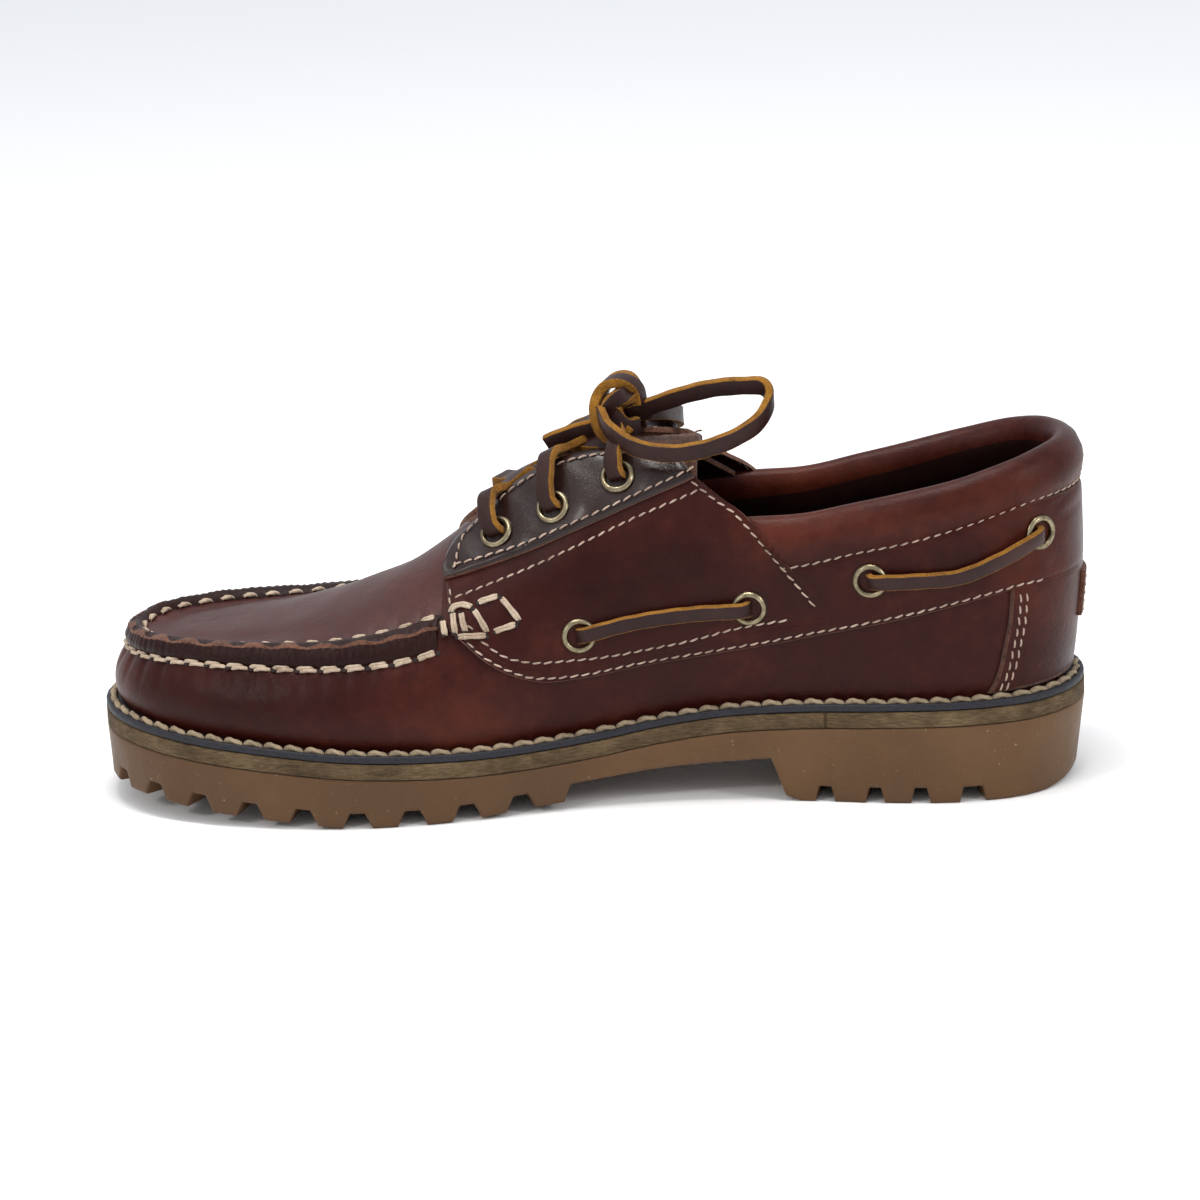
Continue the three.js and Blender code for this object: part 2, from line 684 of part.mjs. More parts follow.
// Block whose outline is seen from the side, through the whole shoe or through one side of it
function sideBlock(points, side = 0) {
  const from = side === LATERAL ? 0 : -BALL_WIDTH;
  const to = side === MEDIAL ? 0 : BALL_WIDTH;
  return fromGeometry(extruded(points, to - from).rotateX(Math.PI / 2).translate(0, to, 0));
}

// Block whose outline is seen from above
function planBlock(points, zFrom) {
  return fromGeometry(extruded(points, ABOVE - zFrom).translate(0, 0, zFrom));
}

const ABOVE = 200; // higher than anything

// Plan of a shape about the instep's ridge, from its points on the outer side
function aboutRidge(half) {
  const mirror = half.map((p) => new THREE.Vector2(p.x, -p.y)).toReversed();
  return [...half, ...mirror].map((p) => new THREE.Vector2(p.x, p.y - SPINE_SHIFT));
}

function throatBlock() {
  const half = THROAT.map((row) => new THREE.Vector2(xOf(row.along * LENGTH), row.width * THROAT_WIDTH));
  return planBlock(aboutRidge(half), HEEL_STACK + WELT + INSTEP * 0.4);
}

// What is cut away above the top line, back to front
function topBlock(drop) {
  const line = [...sideLine(TOP_LINE, 12, -drop), ...sideLine(QUARTER_BACK.slice(2), 3)];
  const [back, front] = [line[0], line[line.length - 1]];
  return sideBlock([...line, new THREE.Vector2(front.x, ABOVE), new THREE.Vector2(back.x, ABOVE)]);
}

// Place on the upper that is seen at a point from the side
function locate(side, row) {
  const along = row.along * LENGTH;
  const height = sideHeight(along, row.up);
  const riseAt = (place) => solve((rise) => facePoint(side, place, rise).z, height, 0, 1);
  const place = solve((p) => alongOf(facePoint(side, p, riseAt(p)).x), along, 0, 1);
  return { side, place, rise: riseAt(place) };
}

// Frame that stands on the upper's face at a place
function faceFrame({ side, place, rise }, distance) {
  const origin = offsetPoint(side, place, rise, distance);
  const outward = offsetPoint(side, place, rise, distance + 1).sub(origin).normalize();
  const turn = new THREE.Quaternion().setFromUnitVectors(new THREE.Vector3(0, 0, 1), outward);
  return new THREE.Matrix4().compose(origin, turn, new THREE.Vector3(1, 1, 1));
}

const BARREL_WALL = 0.5;
const EYELET_RIM = 1.1; // height over the leather
const PANEL_OUT = GAP + OVERLAY; // outer face of a panel that lies on the upper
const STAY_OUT = PANEL_OUT + GAP + OVERLAY; // outer face of the stay, which lies on a panel

const eyelets = [];
for (const [sideName, side] of Object.entries(SIDES)) {
  for (const row of LACE_EYELETS) {
    eyelets.push({ name: `eyelet_${row.name}_${sideName}`, at: locate(side, row), seat: STAY_OUT });
  }
  for (const row of SIDE_EYELETS) {
    eyelets.push({ name: `eyelet_${row.name}_${sideName}`, at: locate(side, row), seat: PANEL_OUT });
  }
}

// Flanged ring through the leather; its profile is turned round its own axis
function eyelet({ at, seat }) {
  const bore = EYELET_BORE / 2;
  const flange = EYELET_WIDTH / 2;
  const back = -(seat + WALL + GAP) + 0.1;
  const points = [
    [bore, back], [bore + BARREL_WALL, back], [bore + BARREL_WALL, GAP], [flange, GAP],
    [flange - 0.8, GAP + EYELET_RIM], [bore, GAP + EYELET_RIM * 0.8], [bore, back],
  ].map(([r, h]) => new THREE.Vector2(r, h));
  const geometry = new THREE.LatheGeometry(points, 8).rotateX(Math.PI / 2).applyMatrix4(faceFrame(at, seat));
  return fromGeometry(geometry);
}

function eyeletHole({ at }) {
  const radius = EYELET_BORE / 2 + BARREL_WALL + GAP;
  const depth = 14;
  const geometry = new THREE.CylinderGeometry(radius, radius, depth, 8).rotateX(Math.PI / 2);
  return fromGeometry(geometry.applyMatrix4(faceFrame(at, 0)));
}
const holes = eyelets.map(eyeletHole);
const pierced = (solid) => holes.reduce((left, hole) => left.subtract(hole), solid);

const COLLAR_SEAT = 4.4; // wall ends below the padded top line

function upper() {
  return pierced(lastShell(0, -WALL).subtract(topBlock(COLLAR_SEAT)).subtract(throatBlock()));
}

function quarterOutline() {
  const back = sideLine(QUARTER_BACK, 5);
  const foot = sideLine(QUARTER_FOOT, 9).toReversed();
  const top = [back[back.length - 1].x, xOf(STAY_FRONT * LENGTH)].map((x) => new THREE.Vector2(x, ABOVE));
  return [...back, ...top, ...foot.slice(0, -1)];
}

function quarter(sideName) {
  const side = SIDES[sideName];
  const sheet = patch(side, columnsBetween(0.25, 0.68), RISES.slice(1, 8), PANEL_OUT, GAP);
  return pierced(sheet.intersect(sideBlock(quarterOutline(), side)).subtract(throatBlock()));
}

function stay(sideName) {
  const side = SIDES[sideName];
  const sheet = patch(side, columnsBetween(0.36, 0.68), RISES.slice(3, 8), STAY_OUT, PANEL_OUT + 1.5 * GAP);
  const foot = sideLine(STAY_FOOT, 6);
  const top = [foot[0].x, xOf(STAY_FRONT * LENGTH)].map((x) => new THREE.Vector2(x, ABOVE));
  const outline = [...foot.toReversed(), ...top];
  return pierced(sheet.intersect(sideBlock(outline, side)).subtract(throatBlock()));
}

// Strip round the ankle, which runs on under the quarters to their front corners
function ankleBand() {
  const sheet = patch(LATERAL, columnsBetween(-0.68, 0.68), RISES.slice(1, 6), PANEL_OUT, GAP);
  const foot = sideLine(BAND_FOOT, 14);
  const top = sideLine(COLLAR_STITCH, 7);
  const quarterFoot = sideLine(QUARTER_FOOT, 9, -GAP);
  const corner = new THREE.Vector2(quarterFoot[0].x + GAP, quarterFoot[0].y);
  const diagonal = sideLine(QUARTER_BACK.slice(0, 3), 3).map((p) => new THREE.Vector2(p.x + 2 * GAP, p.y));
  const crossing = diagonal.filter((p) => p.y < top[top.length - 1].y);
  const shortTop = top.filter((p) => p.x > crossing[crossing.length - 1].x);
  const underQuarter = [...quarterFoot.toReversed().slice(1, -1), corner, ...crossing];
  const outline = [...foot, ...underQuarter, ...shortTop.toReversed()];
  return pierced(sheet.intersect(sideBlock(outline)));
}

function counter() {
  const sheet = patch(LATERAL, columnsBetween(-0.2, 0.2), RISES.slice(0, 5), PANEL_OUT, GAP);
  const front = sideLine(COUNTER_FRONT, 5);
  const top = sideLine(BAND_FOOT, 14, -GAP).filter((p) => p.x > front[front.length - 1].x);
  const ground = [top[0].x, front[0].x].map((x) => new THREE.Vector2(x, 0));
  return sheet.intersect(sideBlock([...ground, ...front.slice(0, -1), ...top.toReversed()]));
}

// Short strip over the back seam
function heelTab() {
  const columns = [-0.022, 0, 0.022];
  return patch(LATERAL, columns, [0.1, 0.15, 0.19], PANEL_OUT + GAP + OVERLAY * 0.8, PANEL_OUT + GAP);
}

// Padded top line: a section laid over the wall's edge. out is across the wall and up is along it, from
// the top line; both are shares of the padding and of the collar's depth.
const COLLAR_SECTION = table("out up", [
  [0.3, -1], [0.5, -1], [1, -0.7], [1.1, -0.4], [0.7, -0.1], [-0.3, 0.03], [-1.3, -0.1], [-1.8, -0.5],
  [-1.5, -1], [-1, -0.95], [-1, -0.16], [0.3, -0.16],
]);

function collarPoint(side, place, row) {
  const top = smoothCurve(TOP_LINE.map((r) => r.along * LENGTH), TOP_LINE.map((r) => r.up));
  const [s, p] = foldPlace(side, place);
  const along = alongOf(facePoint(s, p, SHOULDER_AT).x);
  const height = sideHeight(along, top(along)) + row.up * COLLAR_DEPTH;
  const rise = solve((r) => facePoint(s, p, r).z, height, 0, 1);
  return offsetPoint(s, p, rise, row.out * COLLAR_PAD);
}

function collar() {
  const columns = columnsBetween(-0.4, 0.4);
  const rows = COLLAR_SECTION.map((row) => columns.map((place) => collarPoint(LATERAL, place, row)));
  const roll = ringSolid(rows, false);
  const line = sideLine(QUARTER_BACK, 6).map((p) => new THREE.Vector2(p.x + 3 * GAP, p.y));
  const front = xOf(LENGTH * 0.6);
  const corners = [
    new THREE.Vector2(line[6].x, ABOVE),
    new THREE.Vector2(front, ABOVE),
    new THREE.Vector2(front, line[0].y),
  ];
  const stitch = sideLine(COLLAR_STITCH, 7, GAP);
  const ground = [stitch[7].x, stitch[0].x].map((x) => new THREE.Vector2(x, 0));
  return roll.subtract(sideBlock([...line, ...corners])).subtract(sideBlock([...stitch, ...ground]));
}

// Raised seam from the front corner of one quarter round the toe to the other
const SEAM_SECTION = table("rise out", [
  [-0.075, 0.12], [-0.08, 0.5], [-0.05, 0.85], [-0.012, 1], [0.018, 0.9], [0.034, 0.4], [0.034, 0.12],
  [0, 0.12],
]);

function mocSeam() {
  const start = locate(MEDIAL, { along: STAY_FRONT + 0.003, up: 0.45 }).place;
  const count = 28;
  const columns = Array.from({ length: count + 1 }, (_, i) => start + ((2 - 2 * start) * i) / count);
  const rows = SEAM_SECTION.map((row) =>
    columns.map((place) => offsetPoint(LATERAL, place, SHOULDER_AT + row.rise, row.out * SEAM_HEIGHT)),
  );
  return ringSolid(rows, false);
}

const TONGUE_OUT = -(WALL + 2 * GAP); // the tongue's upper face, from the upper's

// Tongue inside the wall, from under the plug to above the last eyelets
function tongue() {
  const shell = lastShell(TONGUE_OUT, TONGUE_OUT - TONGUE);
  const half = TONGUE_WIDTH / 2;
  const back = xOf(LENGTH * 0.383);
  const front = xOf(LENGTH * 0.68);
  const corner = 9;
  const plan = [
    [back, half * 0.6], [back - corner, half], [front + corner, half * 0.95], [front, half * 0.6],
  ];
  const outline = aboutRidge(plan.map(([x, y]) => new THREE.Vector2(x, y)));
  return shell.intersect(planBlock(outline, HEEL_STACK + WELT + INSTEP * 0.3));
}

// Straps: a flat section swept along points, each with the direction of the strap's width
function strap(points, widths) {
  const curve = new THREE.CatmullRomCurve3(points, false, "centripetal");
  const rows = [[], [], [], []];
  points.forEach((point, i) => {
    const along = curve.getTangent(i / (points.length - 1));
    const across = widths[i].clone().projectOnPlane(along).setLength(LACE_WIDTH / 2);
    const thick = new THREE.Vector3().crossVectors(along, across).setLength(LACE_THICKNESS / 2);
    rows[0].push(point.clone().add(across).add(thick));
    rows[1].push(point.clone().sub(across).add(thick));
    rows[2].push(point.clone().sub(across).sub(thick));
    rows[3].push(point.clone().add(across).sub(thick));
  });
  return ringSolid(rows, false);
}

// Side lace between two side eyelets: way along the run from each end, and height over the leather
const SIDE_LACE_ENDS = table("way over", [
  [0, -2.2], [0.1, 0.6], [1.6, 2.5], [5, 2.9],
]);

function sideLace(side, fromRow, toRow) {
  const [from, to] = [fromRow, toRow].map((row) => locate(side, row));
  const ends = [from, to].map(({ place, rise }) => offsetPoint(side, place, rise, PANEL_OUT));
  const run = ends[1].clone().sub(ends[0]);
  const shares = SIDE_LACE_ENDS.map((row) => row.way / run.length());
  const overs = SIDE_LACE_ENDS.map((row) => row.over);
  const middle = GAP + LACE_THICKNESS / 2 + 0.6;
  const allShares = [...shares, 0.27, 0.5, 0.73, ...shares.toReversed().map((share) => 1 - share)];
  const allOvers = [...overs, middle, middle, middle, ...overs.toReversed()];
  const between = (column, share) => THREE.MathUtils.lerp(from[column], to[column], share);
  const at = (share, over) => offsetPoint(side, between("place", share), between("rise", share), over);
  const points = allShares.map((share, i) => at(share, PANEL_OUT + allOvers[i]));
  const outward = (share) => at(share, 1).sub(at(share, 0));
  const widths = allShares.map((share) => new THREE.Vector3().crossVectors(run, outward(share)));
  return strap(points, widths);
}

// Point over the roof of the foot, seen from above: across is measured from the instep's ridge
function roofPoint(side, along, across, over) {
  const placeOf = placeAt(along);
  const target = side * across - SPINE_SHIFT;
  const rise = solve((r) => -side * facePoint(side, placeOf, r).y, -side * target, SHOULDER_AT * 0.8, 1);
  return offsetPoint(side, placeOf, rise, over);
}

// One strand out of its eyelet, over the stay's edge and the ridge, and down beside the other stay
function crossStrand(side, row, nextRow) {
  const from = row.along * LENGTH;
  const to = nextRow.along * LENGTH + EYELET_WIDTH / 2;
  const half = THROAT_WIDTH / 2;
  return [
    ...strandOut(side, row),
    roofPoint(side, from - 3, half * 0.6, STAY_OUT + GAP),
    roofPoint(side, (from + to) / 2, 0, LACE_BED + GAP),
    roofPoint(-side, to, half * 0.5, LACE_BED + GAP),
    roofPoint(-side, to - 2, half * 0.75, LACE_BED + GAP),
  ];
}

// A strand rises out of its eyelet and bends over the rim towards the throat.
function strandOut(side, row) {
  const { place, rise } = locate(side, row);
  const inside = [-1, 0.2, 1.5].map((over) => offsetPoint(side, place, rise, STAY_OUT + over));
  const across = side * (facePoint(side, place, rise).y + SPINE_SHIFT);
  const along = row.along * LENGTH;
  return [
    ...inside,
    roofPoint(side, along, across - 0.8, STAY_OUT + 3),
    roofPoint(side, along, across - 3.8, STAY_OUT + 3.6),
  ];
}

// Middle of a strand that lies on the tongue, from the upper's face
const LACE_BED = TONGUE_OUT + GAP + LACE_THICKNESS / 2;
const ALONG_INSTEP = roofPoint(MEDIAL, LACE_EYELETS[2].along * LENGTH, 0, 0).sub(
  roofPoint(MEDIAL, LACE_EYELETS[0].along * LENGTH, 0, 0),
);

function laceCrossing(row, nextRow) {
  const [one, other] = [MEDIAL, LATERAL].map((side) => {
    const points = crossStrand(side, row, nextRow);
    return strap(points, points.map(() => ALONG_INSTEP));
  });
  return one.add(other);
}

// Knot: the middle of the bow, on the tongue between the last eyelets
const KNOT = { along: 0.462, over: 7.8, length: 13, width: 11, height: 17.6 };
const knotAt = roofPoint(MEDIAL, KNOT.along * LENGTH, 0, KNOT.over);

// Strand from the last eyelet up to the knot's side
function laceRise(side) {
  const beside = side * (KNOT.width / 2 + LACE_THICKNESS / 2);
  const end = new THREE.Vector3(knotAt.x, knotAt.y + beside, knotAt.z - KNOT.height * 0.22);
  const points = [...strandOut(side, LACE_EYELETS[2]), end];
  return strap(points, points.map(() => ALONG_INSTEP));
}

function knot() {
  const geometry = new THREE.SphereGeometry(0.5, 10, 6).scale(KNOT.length, KNOT.width, KNOT.height);
  return fromGeometry(geometry.translate(...knotAt.toArray()));
}

// Routes of the bow's strands, in this file's own frame
const BOW = {
  bow_loop_medial: [
    [6.2, -8.9, 116.2], [7.6, -13, 114.4], [9.2, -17.4, 113], [12.2, -21, 111.5], [16.4, -23.4, 109.2],
    [22.7, -24.6, 107.6], [28.8, -25.4, 107.2], [35, -25.5, 107.8], [41.1, -25, 109.2], [47.1, -24, 111.3],
    [53.2, -22, 114.7], [56.2, -19.5, 118.1], [57.4, -16.5, 121.7], [55.6, -13.5, 124.1], [50, -11, 124],
    [40.7, -8.5, 122.9], [31.4, -6.5, 120.5], [23.9, -5, 117.8], [19.8, -4, 116.2],
  ],
  bow_loop_lateral: [
    [18.9, -0.6, 114.2], [21.5, 3, 113.6], [24.2, 8, 112.2], [26.4, 14, 110.4], [27.8, 20, 108.2],
    [27.6, 26, 105.6], [25, 30.4, 103.4], [21, 30, 103.2], [18.4, 25.5, 105.2], [17.2, 19, 107.8],
    [16.8, 12.5, 110], [17.4, 6.5, 111.6], [18.4, 2.6, 111.4],
  ],
  bow_end_medial: [
    [3.8, -3.4, 110.2], [0.4, -3, 109.4], [-3.2, -2.5, 108.3], [-7, -1.8, 106.8], [-10.9, -1, 105],
  ],
  bow_end_lateral: [
    [5.4, 4.4, 110.4], [3.4, 8.5, 109.2], [0.6, 13.5, 107.2], [-3, 19, 104.6], [-6.5, 24.5, 101],
    [-9.4, 29, 96.4],
  ],
};

const UP = new THREE.Vector3(0, 0, 1);

function bowStrand(route) {
  const points = route.map((p) => new THREE.Vector3(...p));
  return strap(points, points.map(() => UP));
}

const materials = {
  leather: { color: 0x4a1a14, roughness: 0.4, metalness: 0 },
  lining: { color: 0x2c1410, roughness: 0.8, metalness: 0 },
  rubber: { color: 0x8a5f35, roughness: 0.55, metalness: 0 },
  midsole: { color: 0x7d6543, roughness: 0.9, metalness: 0 },
  welt: { color: 0x141212, roughness: 0.7, metalness: 0 },
  brass: { color: 0x7d6a48, roughness: 0.4, metalness: 0.9 },
  rawhide: { color: 0x3a211a, roughness: 0.6, metalness: 0 },
};

const group = new THREE.Group();

function add(name, solid, material) {
  const { vertProperties, numProp, triVerts } = solid.getMesh();
  const geometry = new THREE.BufferGeometry();
  const interleaved = new THREE.InterleavedBuffer(vertProperties, numProp);
  geometry.setAttribute("position", new THREE.InterleavedBufferAttribute(interleaved, 3, 0));
  geometry.setIndex(new THREE.BufferAttribute(triVerts, 1));
  const mesh = new THREE.Mesh(geometry, new THREE.MeshStandardMaterial(materials[material]));
  mesh.name = name;
  group.add(mesh);
}

add("outsole", outsole(), "rubber");
add("midsole", midsole(), "midsole");
add("welt", welt(), "welt");
add("insole", insole(), "lining");
add("upper", upper(), "leather");
add("tongue", tongue(), "lining");
add("moc_seam", mocSeam(), "leather");
add("collar", collar(), "leather");
add("counter", counter(), "leather");
add("heel_tab", heelTab(), "leather");
add("ankle_band", ankleBand(), "leather");
for (const name of Object.keys(SIDES)) {
  add(`quarter_${name}`, quarter(name), "leather");
  add(`eyestay_${name}`, stay(name), "leather");
}
for (const each of eyelets) add(each.name, eyelet(each), "brass");
for (const [name, side] of Object.entries(SIDES)) {
  add(`side_lace_front_${name}`, sideLace(side, SIDE_EYELETS[0], SIDE_EYELETS[1]), "rawhide");
  add(`side_lace_back_${name}`, sideLace(side, SIDE_EYELETS[2], SIDE_EYELETS[3]), "rawhide");
}

add("lace_cross_front", laceCrossing(LACE_EYELETS[0], LACE_EYELETS[1]), "rawhide");
add("lace_cross_middle", laceCrossing(LACE_EYELETS[1], LACE_EYELETS[2]), "rawhide");
for (const [name, side] of Object.entries(SIDES)) add(`lace_rise_${name}`, laceRise(side), "rawhide");
add("knot", knot(), "rawhide");
for (const [name, route] of Object.entries(BOW)) add(name, bowStrand(route), "rawhide");

export default group;
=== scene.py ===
# A three-eyelet boat shoe on a lug sole, dressed for a studio picture.
# The shoe's sizes are in millimetres, in the frame of its CAD model: the toe points to -X, the inner side
# of the foot is -Y, and the ground is z = 0. Blender's own objects are in metres.
import math

import bpy
import numpy as np
from mathutils import Matrix, Vector


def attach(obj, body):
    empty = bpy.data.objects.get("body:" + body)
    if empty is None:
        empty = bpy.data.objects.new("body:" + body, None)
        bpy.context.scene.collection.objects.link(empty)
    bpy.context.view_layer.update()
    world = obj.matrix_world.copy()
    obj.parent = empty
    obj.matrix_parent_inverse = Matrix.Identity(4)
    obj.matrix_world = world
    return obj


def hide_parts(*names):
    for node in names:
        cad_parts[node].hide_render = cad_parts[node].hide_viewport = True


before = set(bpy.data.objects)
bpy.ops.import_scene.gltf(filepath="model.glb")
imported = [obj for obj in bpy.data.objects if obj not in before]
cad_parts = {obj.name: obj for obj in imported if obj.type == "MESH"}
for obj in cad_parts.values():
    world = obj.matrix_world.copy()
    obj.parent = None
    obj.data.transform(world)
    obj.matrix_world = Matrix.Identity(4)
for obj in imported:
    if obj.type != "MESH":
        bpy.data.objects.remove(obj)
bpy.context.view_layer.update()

MM = 0.001

# Driving sizes, as in the CAD model
LENGTH = 300
BALL_WIDTH = 106
HEEL_STACK = 24.5
TOE_SPRING = 7
BREAST_RISE = 13.3
LUG_DEPTH = 4.7
LUG_PITCH = 16.3
LUG_LENGTH = 14
CHANNEL = 3.4
MIDSOLE = 4.8
WELT = 2.2
WELT_LEDGE = 4.8
WELT_WIDTH = 10
INSOLE = 3
INSTEP = 84
WALL = 2
OVERLAY = 1.2
SEAM_HEIGHT = 2.6
TONGUE = 2.4
THROAT_WIDTH = 26
COLLAR_PAD = 3
COLLAR_SEAT = 4.4
EYELET_WIDTH = 10.6
EYELET_BORE = 6.8
LACE_WIDTH = 5.2
LACE_THICKNESS = 2.5
GAP = 0.3
SPINE_SHIFT = 2.5
BULGE_AT = 0.3
SHOULDER_AT = 0.6
STAY_FRONT = 0.636
PANEL_OUT = GAP + OVERLAY
STAY_OUT = PANEL_OUT + GAP + OVERLAY

# Stitching
THREAD = 0.32  # radius of the machine thread
THREAD_PITCH = 3.4
HAND_THREAD = 0.62
HAND_PITCH = 7.2
WELT_PITCH = 6.3

LATERAL = 1
MEDIAL = -1
SIDES = {"medial": MEDIAL, "lateral": LATERAL}


# Columns of numbers under a heading of their names
def table(heading, rows):
    return {name: np.array([row[i] for row in rows], float) for i, name in enumerate(heading.split())}


SECTIONS = table(
    "along spine medial lateral soleTop bulgeIn bulgeUp medialIn lateralIn medialUp lateralUp ridge crease",
    [
        [0, 0.125, 0, 0, 1, -0.04, 0.55, 0.018, 0.018, 0.881, 0.881, 1.04, 0],
        [0.017, 0.126, 0.17, 0.17, 1, -0.038, 0.54, 0.019, 0.019, 0.877, 0.877, 1.04, 0],
        [0.053, 0.132, 0.278, 0.278, 1, -0.033, 0.48, 0.02, 0.02, 0.863, 0.863, 1.04, 0],
        [0.113, 0.152, 0.338, 0.34, 0.996, -0.026, 0.36, 0.012, 0.018, 0.808, 0.808, 1.02, 0],
        [0.2, 0.21, 0.338, 0.358, 0.975, -0.021, 0.32, 0.012, 0.042, 0.739, 0.739, 0.97, 0],
        [0.287, 0.287, 0.305, 0.373, 0.94, -0.021, 0.31, 0.006, 0.065, 0.686, 0.686, 0.95, 0],
        [0.36, 0.36, 0.294, 0.392, 0.886, -0.031, 0.31, 0, 0.095, 0.715, 0.705, 0.955, 0],
        [0.427, 0.427, 0.304, 0.413, 0.78, -0.031, 0.306, 0.024, 0.107, 0.748, 0.724, 0.977, 0],
        [0.487, 0.487, 0.334, 0.437, 0.66, -0.026, 0.295, 0.054, 0.107, 0.716, 0.693, 0.986, 0],
        [0.547, 0.547, 0.379, 0.46, 0.588, -0.021, 0.255, 0.071, 0.119, 0.585, 0.573, 0.917, 0],
        [0.607, 0.607, 0.436, 0.487, 0.571, -0.019, 0.212, 0.089, 0.131, 0.468, 0.456, 0.745, 0.5],
        [0.667, 0.667, 0.477, 0.5, 0.592, -0.021, 0.18, 0.095, 0.155, 0.394, 0.379, 0.574, 1],
        [0.74, 0.738, 0.5, 0.497, 0.645, -0.024, 0.166, 0.095, 0.167, 0.345, 0.327, 0.45, 1],
        [0.813, 0.805, 0.481, 0.467, 0.722, -0.024, 0.155, 0.095, 0.17, 0.315, 0.296, 0.357, 1],
        [0.88, 0.855, 0.436, 0.41, 0.792, -0.019, 0.147, 0.089, 0.149, 0.293, 0.279, 0.306, 1],
        [0.937, 0.875, 0.355, 0.311, 0.857, -0.014, 0.126, 0.083, 0.119, 0.271, 0.262, 0.276, 1],
        [0.977, 0.881, 0.239, 0.193, 0.898, -0.012, 0.11, 0.077, 0.089, 0.25, 0.249, 0.262, 1],
        [1, 0.882, 0.024, -0.024, 0.914, -0.011, 0.106, 0.071, 0.071, 0.238, 0.238, 0.258, 1],
    ],
)
UNDERSIDE = table("along arch toe", [
    [0, 0.2, 0], [0.013, 0.09, 0], [0.035, 0, 0], [0.288, 0, 0], [0.302, 0.12, 0], [0.316, 1, 0],
    [0.42, 0.84, 0], [0.515, 0.6, 0], [0.522, 0.19, 0], [0.6, 0.05, 0], [0.65, 0, 0], [0.73, 0, 0],
    [0.8, 0, 0.27], [0.87, 0, 0.55], [0.94, 0, 0.85], [1, 0, 1],
])
TOP_LINE = table("along up", [
    [-0.03, 0.882], [0.04, 0.875], [0.07, 0.85], [0.121, 0.8], [0.173, 0.758], [0.224, 0.722],
    [0.277, 0.686], [0.333, 0.684],
])
COLLAR_STITCH = table("along up", [
    [-0.03, 0.727], [0.044, 0.709], [0.07, 0.69], [0.122, 0.636], [0.174, 0.586], [0.225, 0.552],
    [0.277, 0.511], [0.34, 0.49],
])
BAND_FOOT = table("along up", [
    [-0.03, 0.407], [0.045, 0.4], [0.071, 0.394], [0.123, 0.356], [0.175, 0.313], [0.253, 0.258],
    [0.332, 0.217], [0.396, 0.206], [0.46, 0.211], [0.504, 0.211], [0.545, 0.225], [0.569, 0.257],
    [0.594, 0.311], [0.613, 0.37], [0.632, 0.425],
])
QUARTER_FOOT = table("along up", [
    [0.247, 0.302], [0.332, 0.276], [0.396, 0.246], [0.459, 0.246], [0.522, 0.262], [0.547, 0.27],
    [0.575, 0.3], [0.597, 0.356], [0.612, 0.41], [0.634, 0.427],
])
QUARTER_BACK = table("along up", [
    [0.247, 0.302], [0.292, 0.507], [0.333, 0.687], [0.358, 0.757], [0.383, 0.83], [0.398, 0.875],
])
STAY_FOOT = table("along up", [
    [0.385, 0.83], [0.393, 0.82], [0.479, 0.747], [0.56, 0.65], [0.634, 0.56],
])
COUNTER_FRONT = table("along up", [
    [0.1, 0], [0.089, 0.08], [0.082, 0.186], [0.077, 0.28], [0.074, 0.42],
])
# Half of the gap between the stays on either side of the instep's ridge, as shares of the throat's width
THROAT = table("along medial lateral", [
    [0.36, 0.75, 0.84], [0.395, 0.6, 0.79], [0.44, 0.43, 0.64], [0.487, 0.34, 0.54], [0.53, 0.28, 0.51],
    [0.56, 0.28, 0.5], [0.59, 0.35, 0.5], [0.61, 0.39, 0.52], [0.64, 0.45, 0.55],
])
# The stays' rounded front corners: distance from the heel, and across from the ridge in millimetres
STAY_CORNER = table("along across", [[0.606, 10], [0.62, 11.5], [0.629, 15], [0.634, 20]])
THROAT_END = 0.618
LACE_EYELETS = {"front": (0.581, 0.711), "middle": (0.524, 0.794), "back": (0.46, 0.867)}
SIDE_EYELETS = {
    "quarter_front": (0.503, 0.365),
    "quarter_back": (0.333, 0.363),
    "band_front": (0.212, 0.451),
    "band_back": (0.047, 0.585),
}
HEEL_NOTCHES = table("along width", [[0.263, 0.22], [0.213, 0.22], [0.167, 0.22], [0.113, 0.37]])


# Smooth curve through values at knots, straight on beyond them
def smooth_curve(knots, values):
    knots, values = np.asarray(knots, float), np.asarray(values, float)
    spans = np.diff(knots)
    slopes = np.diff(values) / spans
    middle = (slopes[1:] * spans[:-1] + slopes[:-1] * spans[1:]) / (spans[1:] + spans[:-1])
    tangents = np.concatenate([slopes[:1], middle, slopes[-1:]])

    def curve(x):
        x = np.asarray(x, float)
        i = np.clip(np.searchsorted(knots, x) - 1, 0, len(spans) - 1)
        f = np.clip((x - knots[i]) / spans[i], 0, 1)
        inside = hermite(f, values[i], values[i + 1], spans[i] * tangents[i], spans[i] * tangents[i + 1])
        before = np.minimum(x - knots[0], 0) * tangents[0]
        after = np.maximum(x - knots[-1], 0) * tangents[-1]
        return inside + before + after

    return curve


def hermite(f, start, end, start_slope, end_slope):
    return (
        start * (1 + 2 * f) * (1 - f) ** 2
        + end * f * f * (3 - 2 * f)
        + start_slope * f * (1 - f) ** 2
        - end_slope * f * f * (1 - f)
    )


# The places where a rising function reaches its targets
def solve(rising, target, low, high, steps=24):
    low = np.full(np.shape(target), float(low))
    high = np.full(np.shape(target), float(high))
    for _ in range(steps):
        middle = (low + high) / 2
        below = rising(middle) < target
        low = np.where(below, middle, low)
        high = np.where(below, high, middle)
    return (low + high) / 2


def smoothstep(low, high, x):
    f = np.clip((x - low) / (high - low), 0, 1)
    return f * f * (3 - 2 * f)


def unit(vectors):
    return vectors / np.maximum(np.linalg.norm(vectors, axis=-1, keepdims=True), 1e-9)


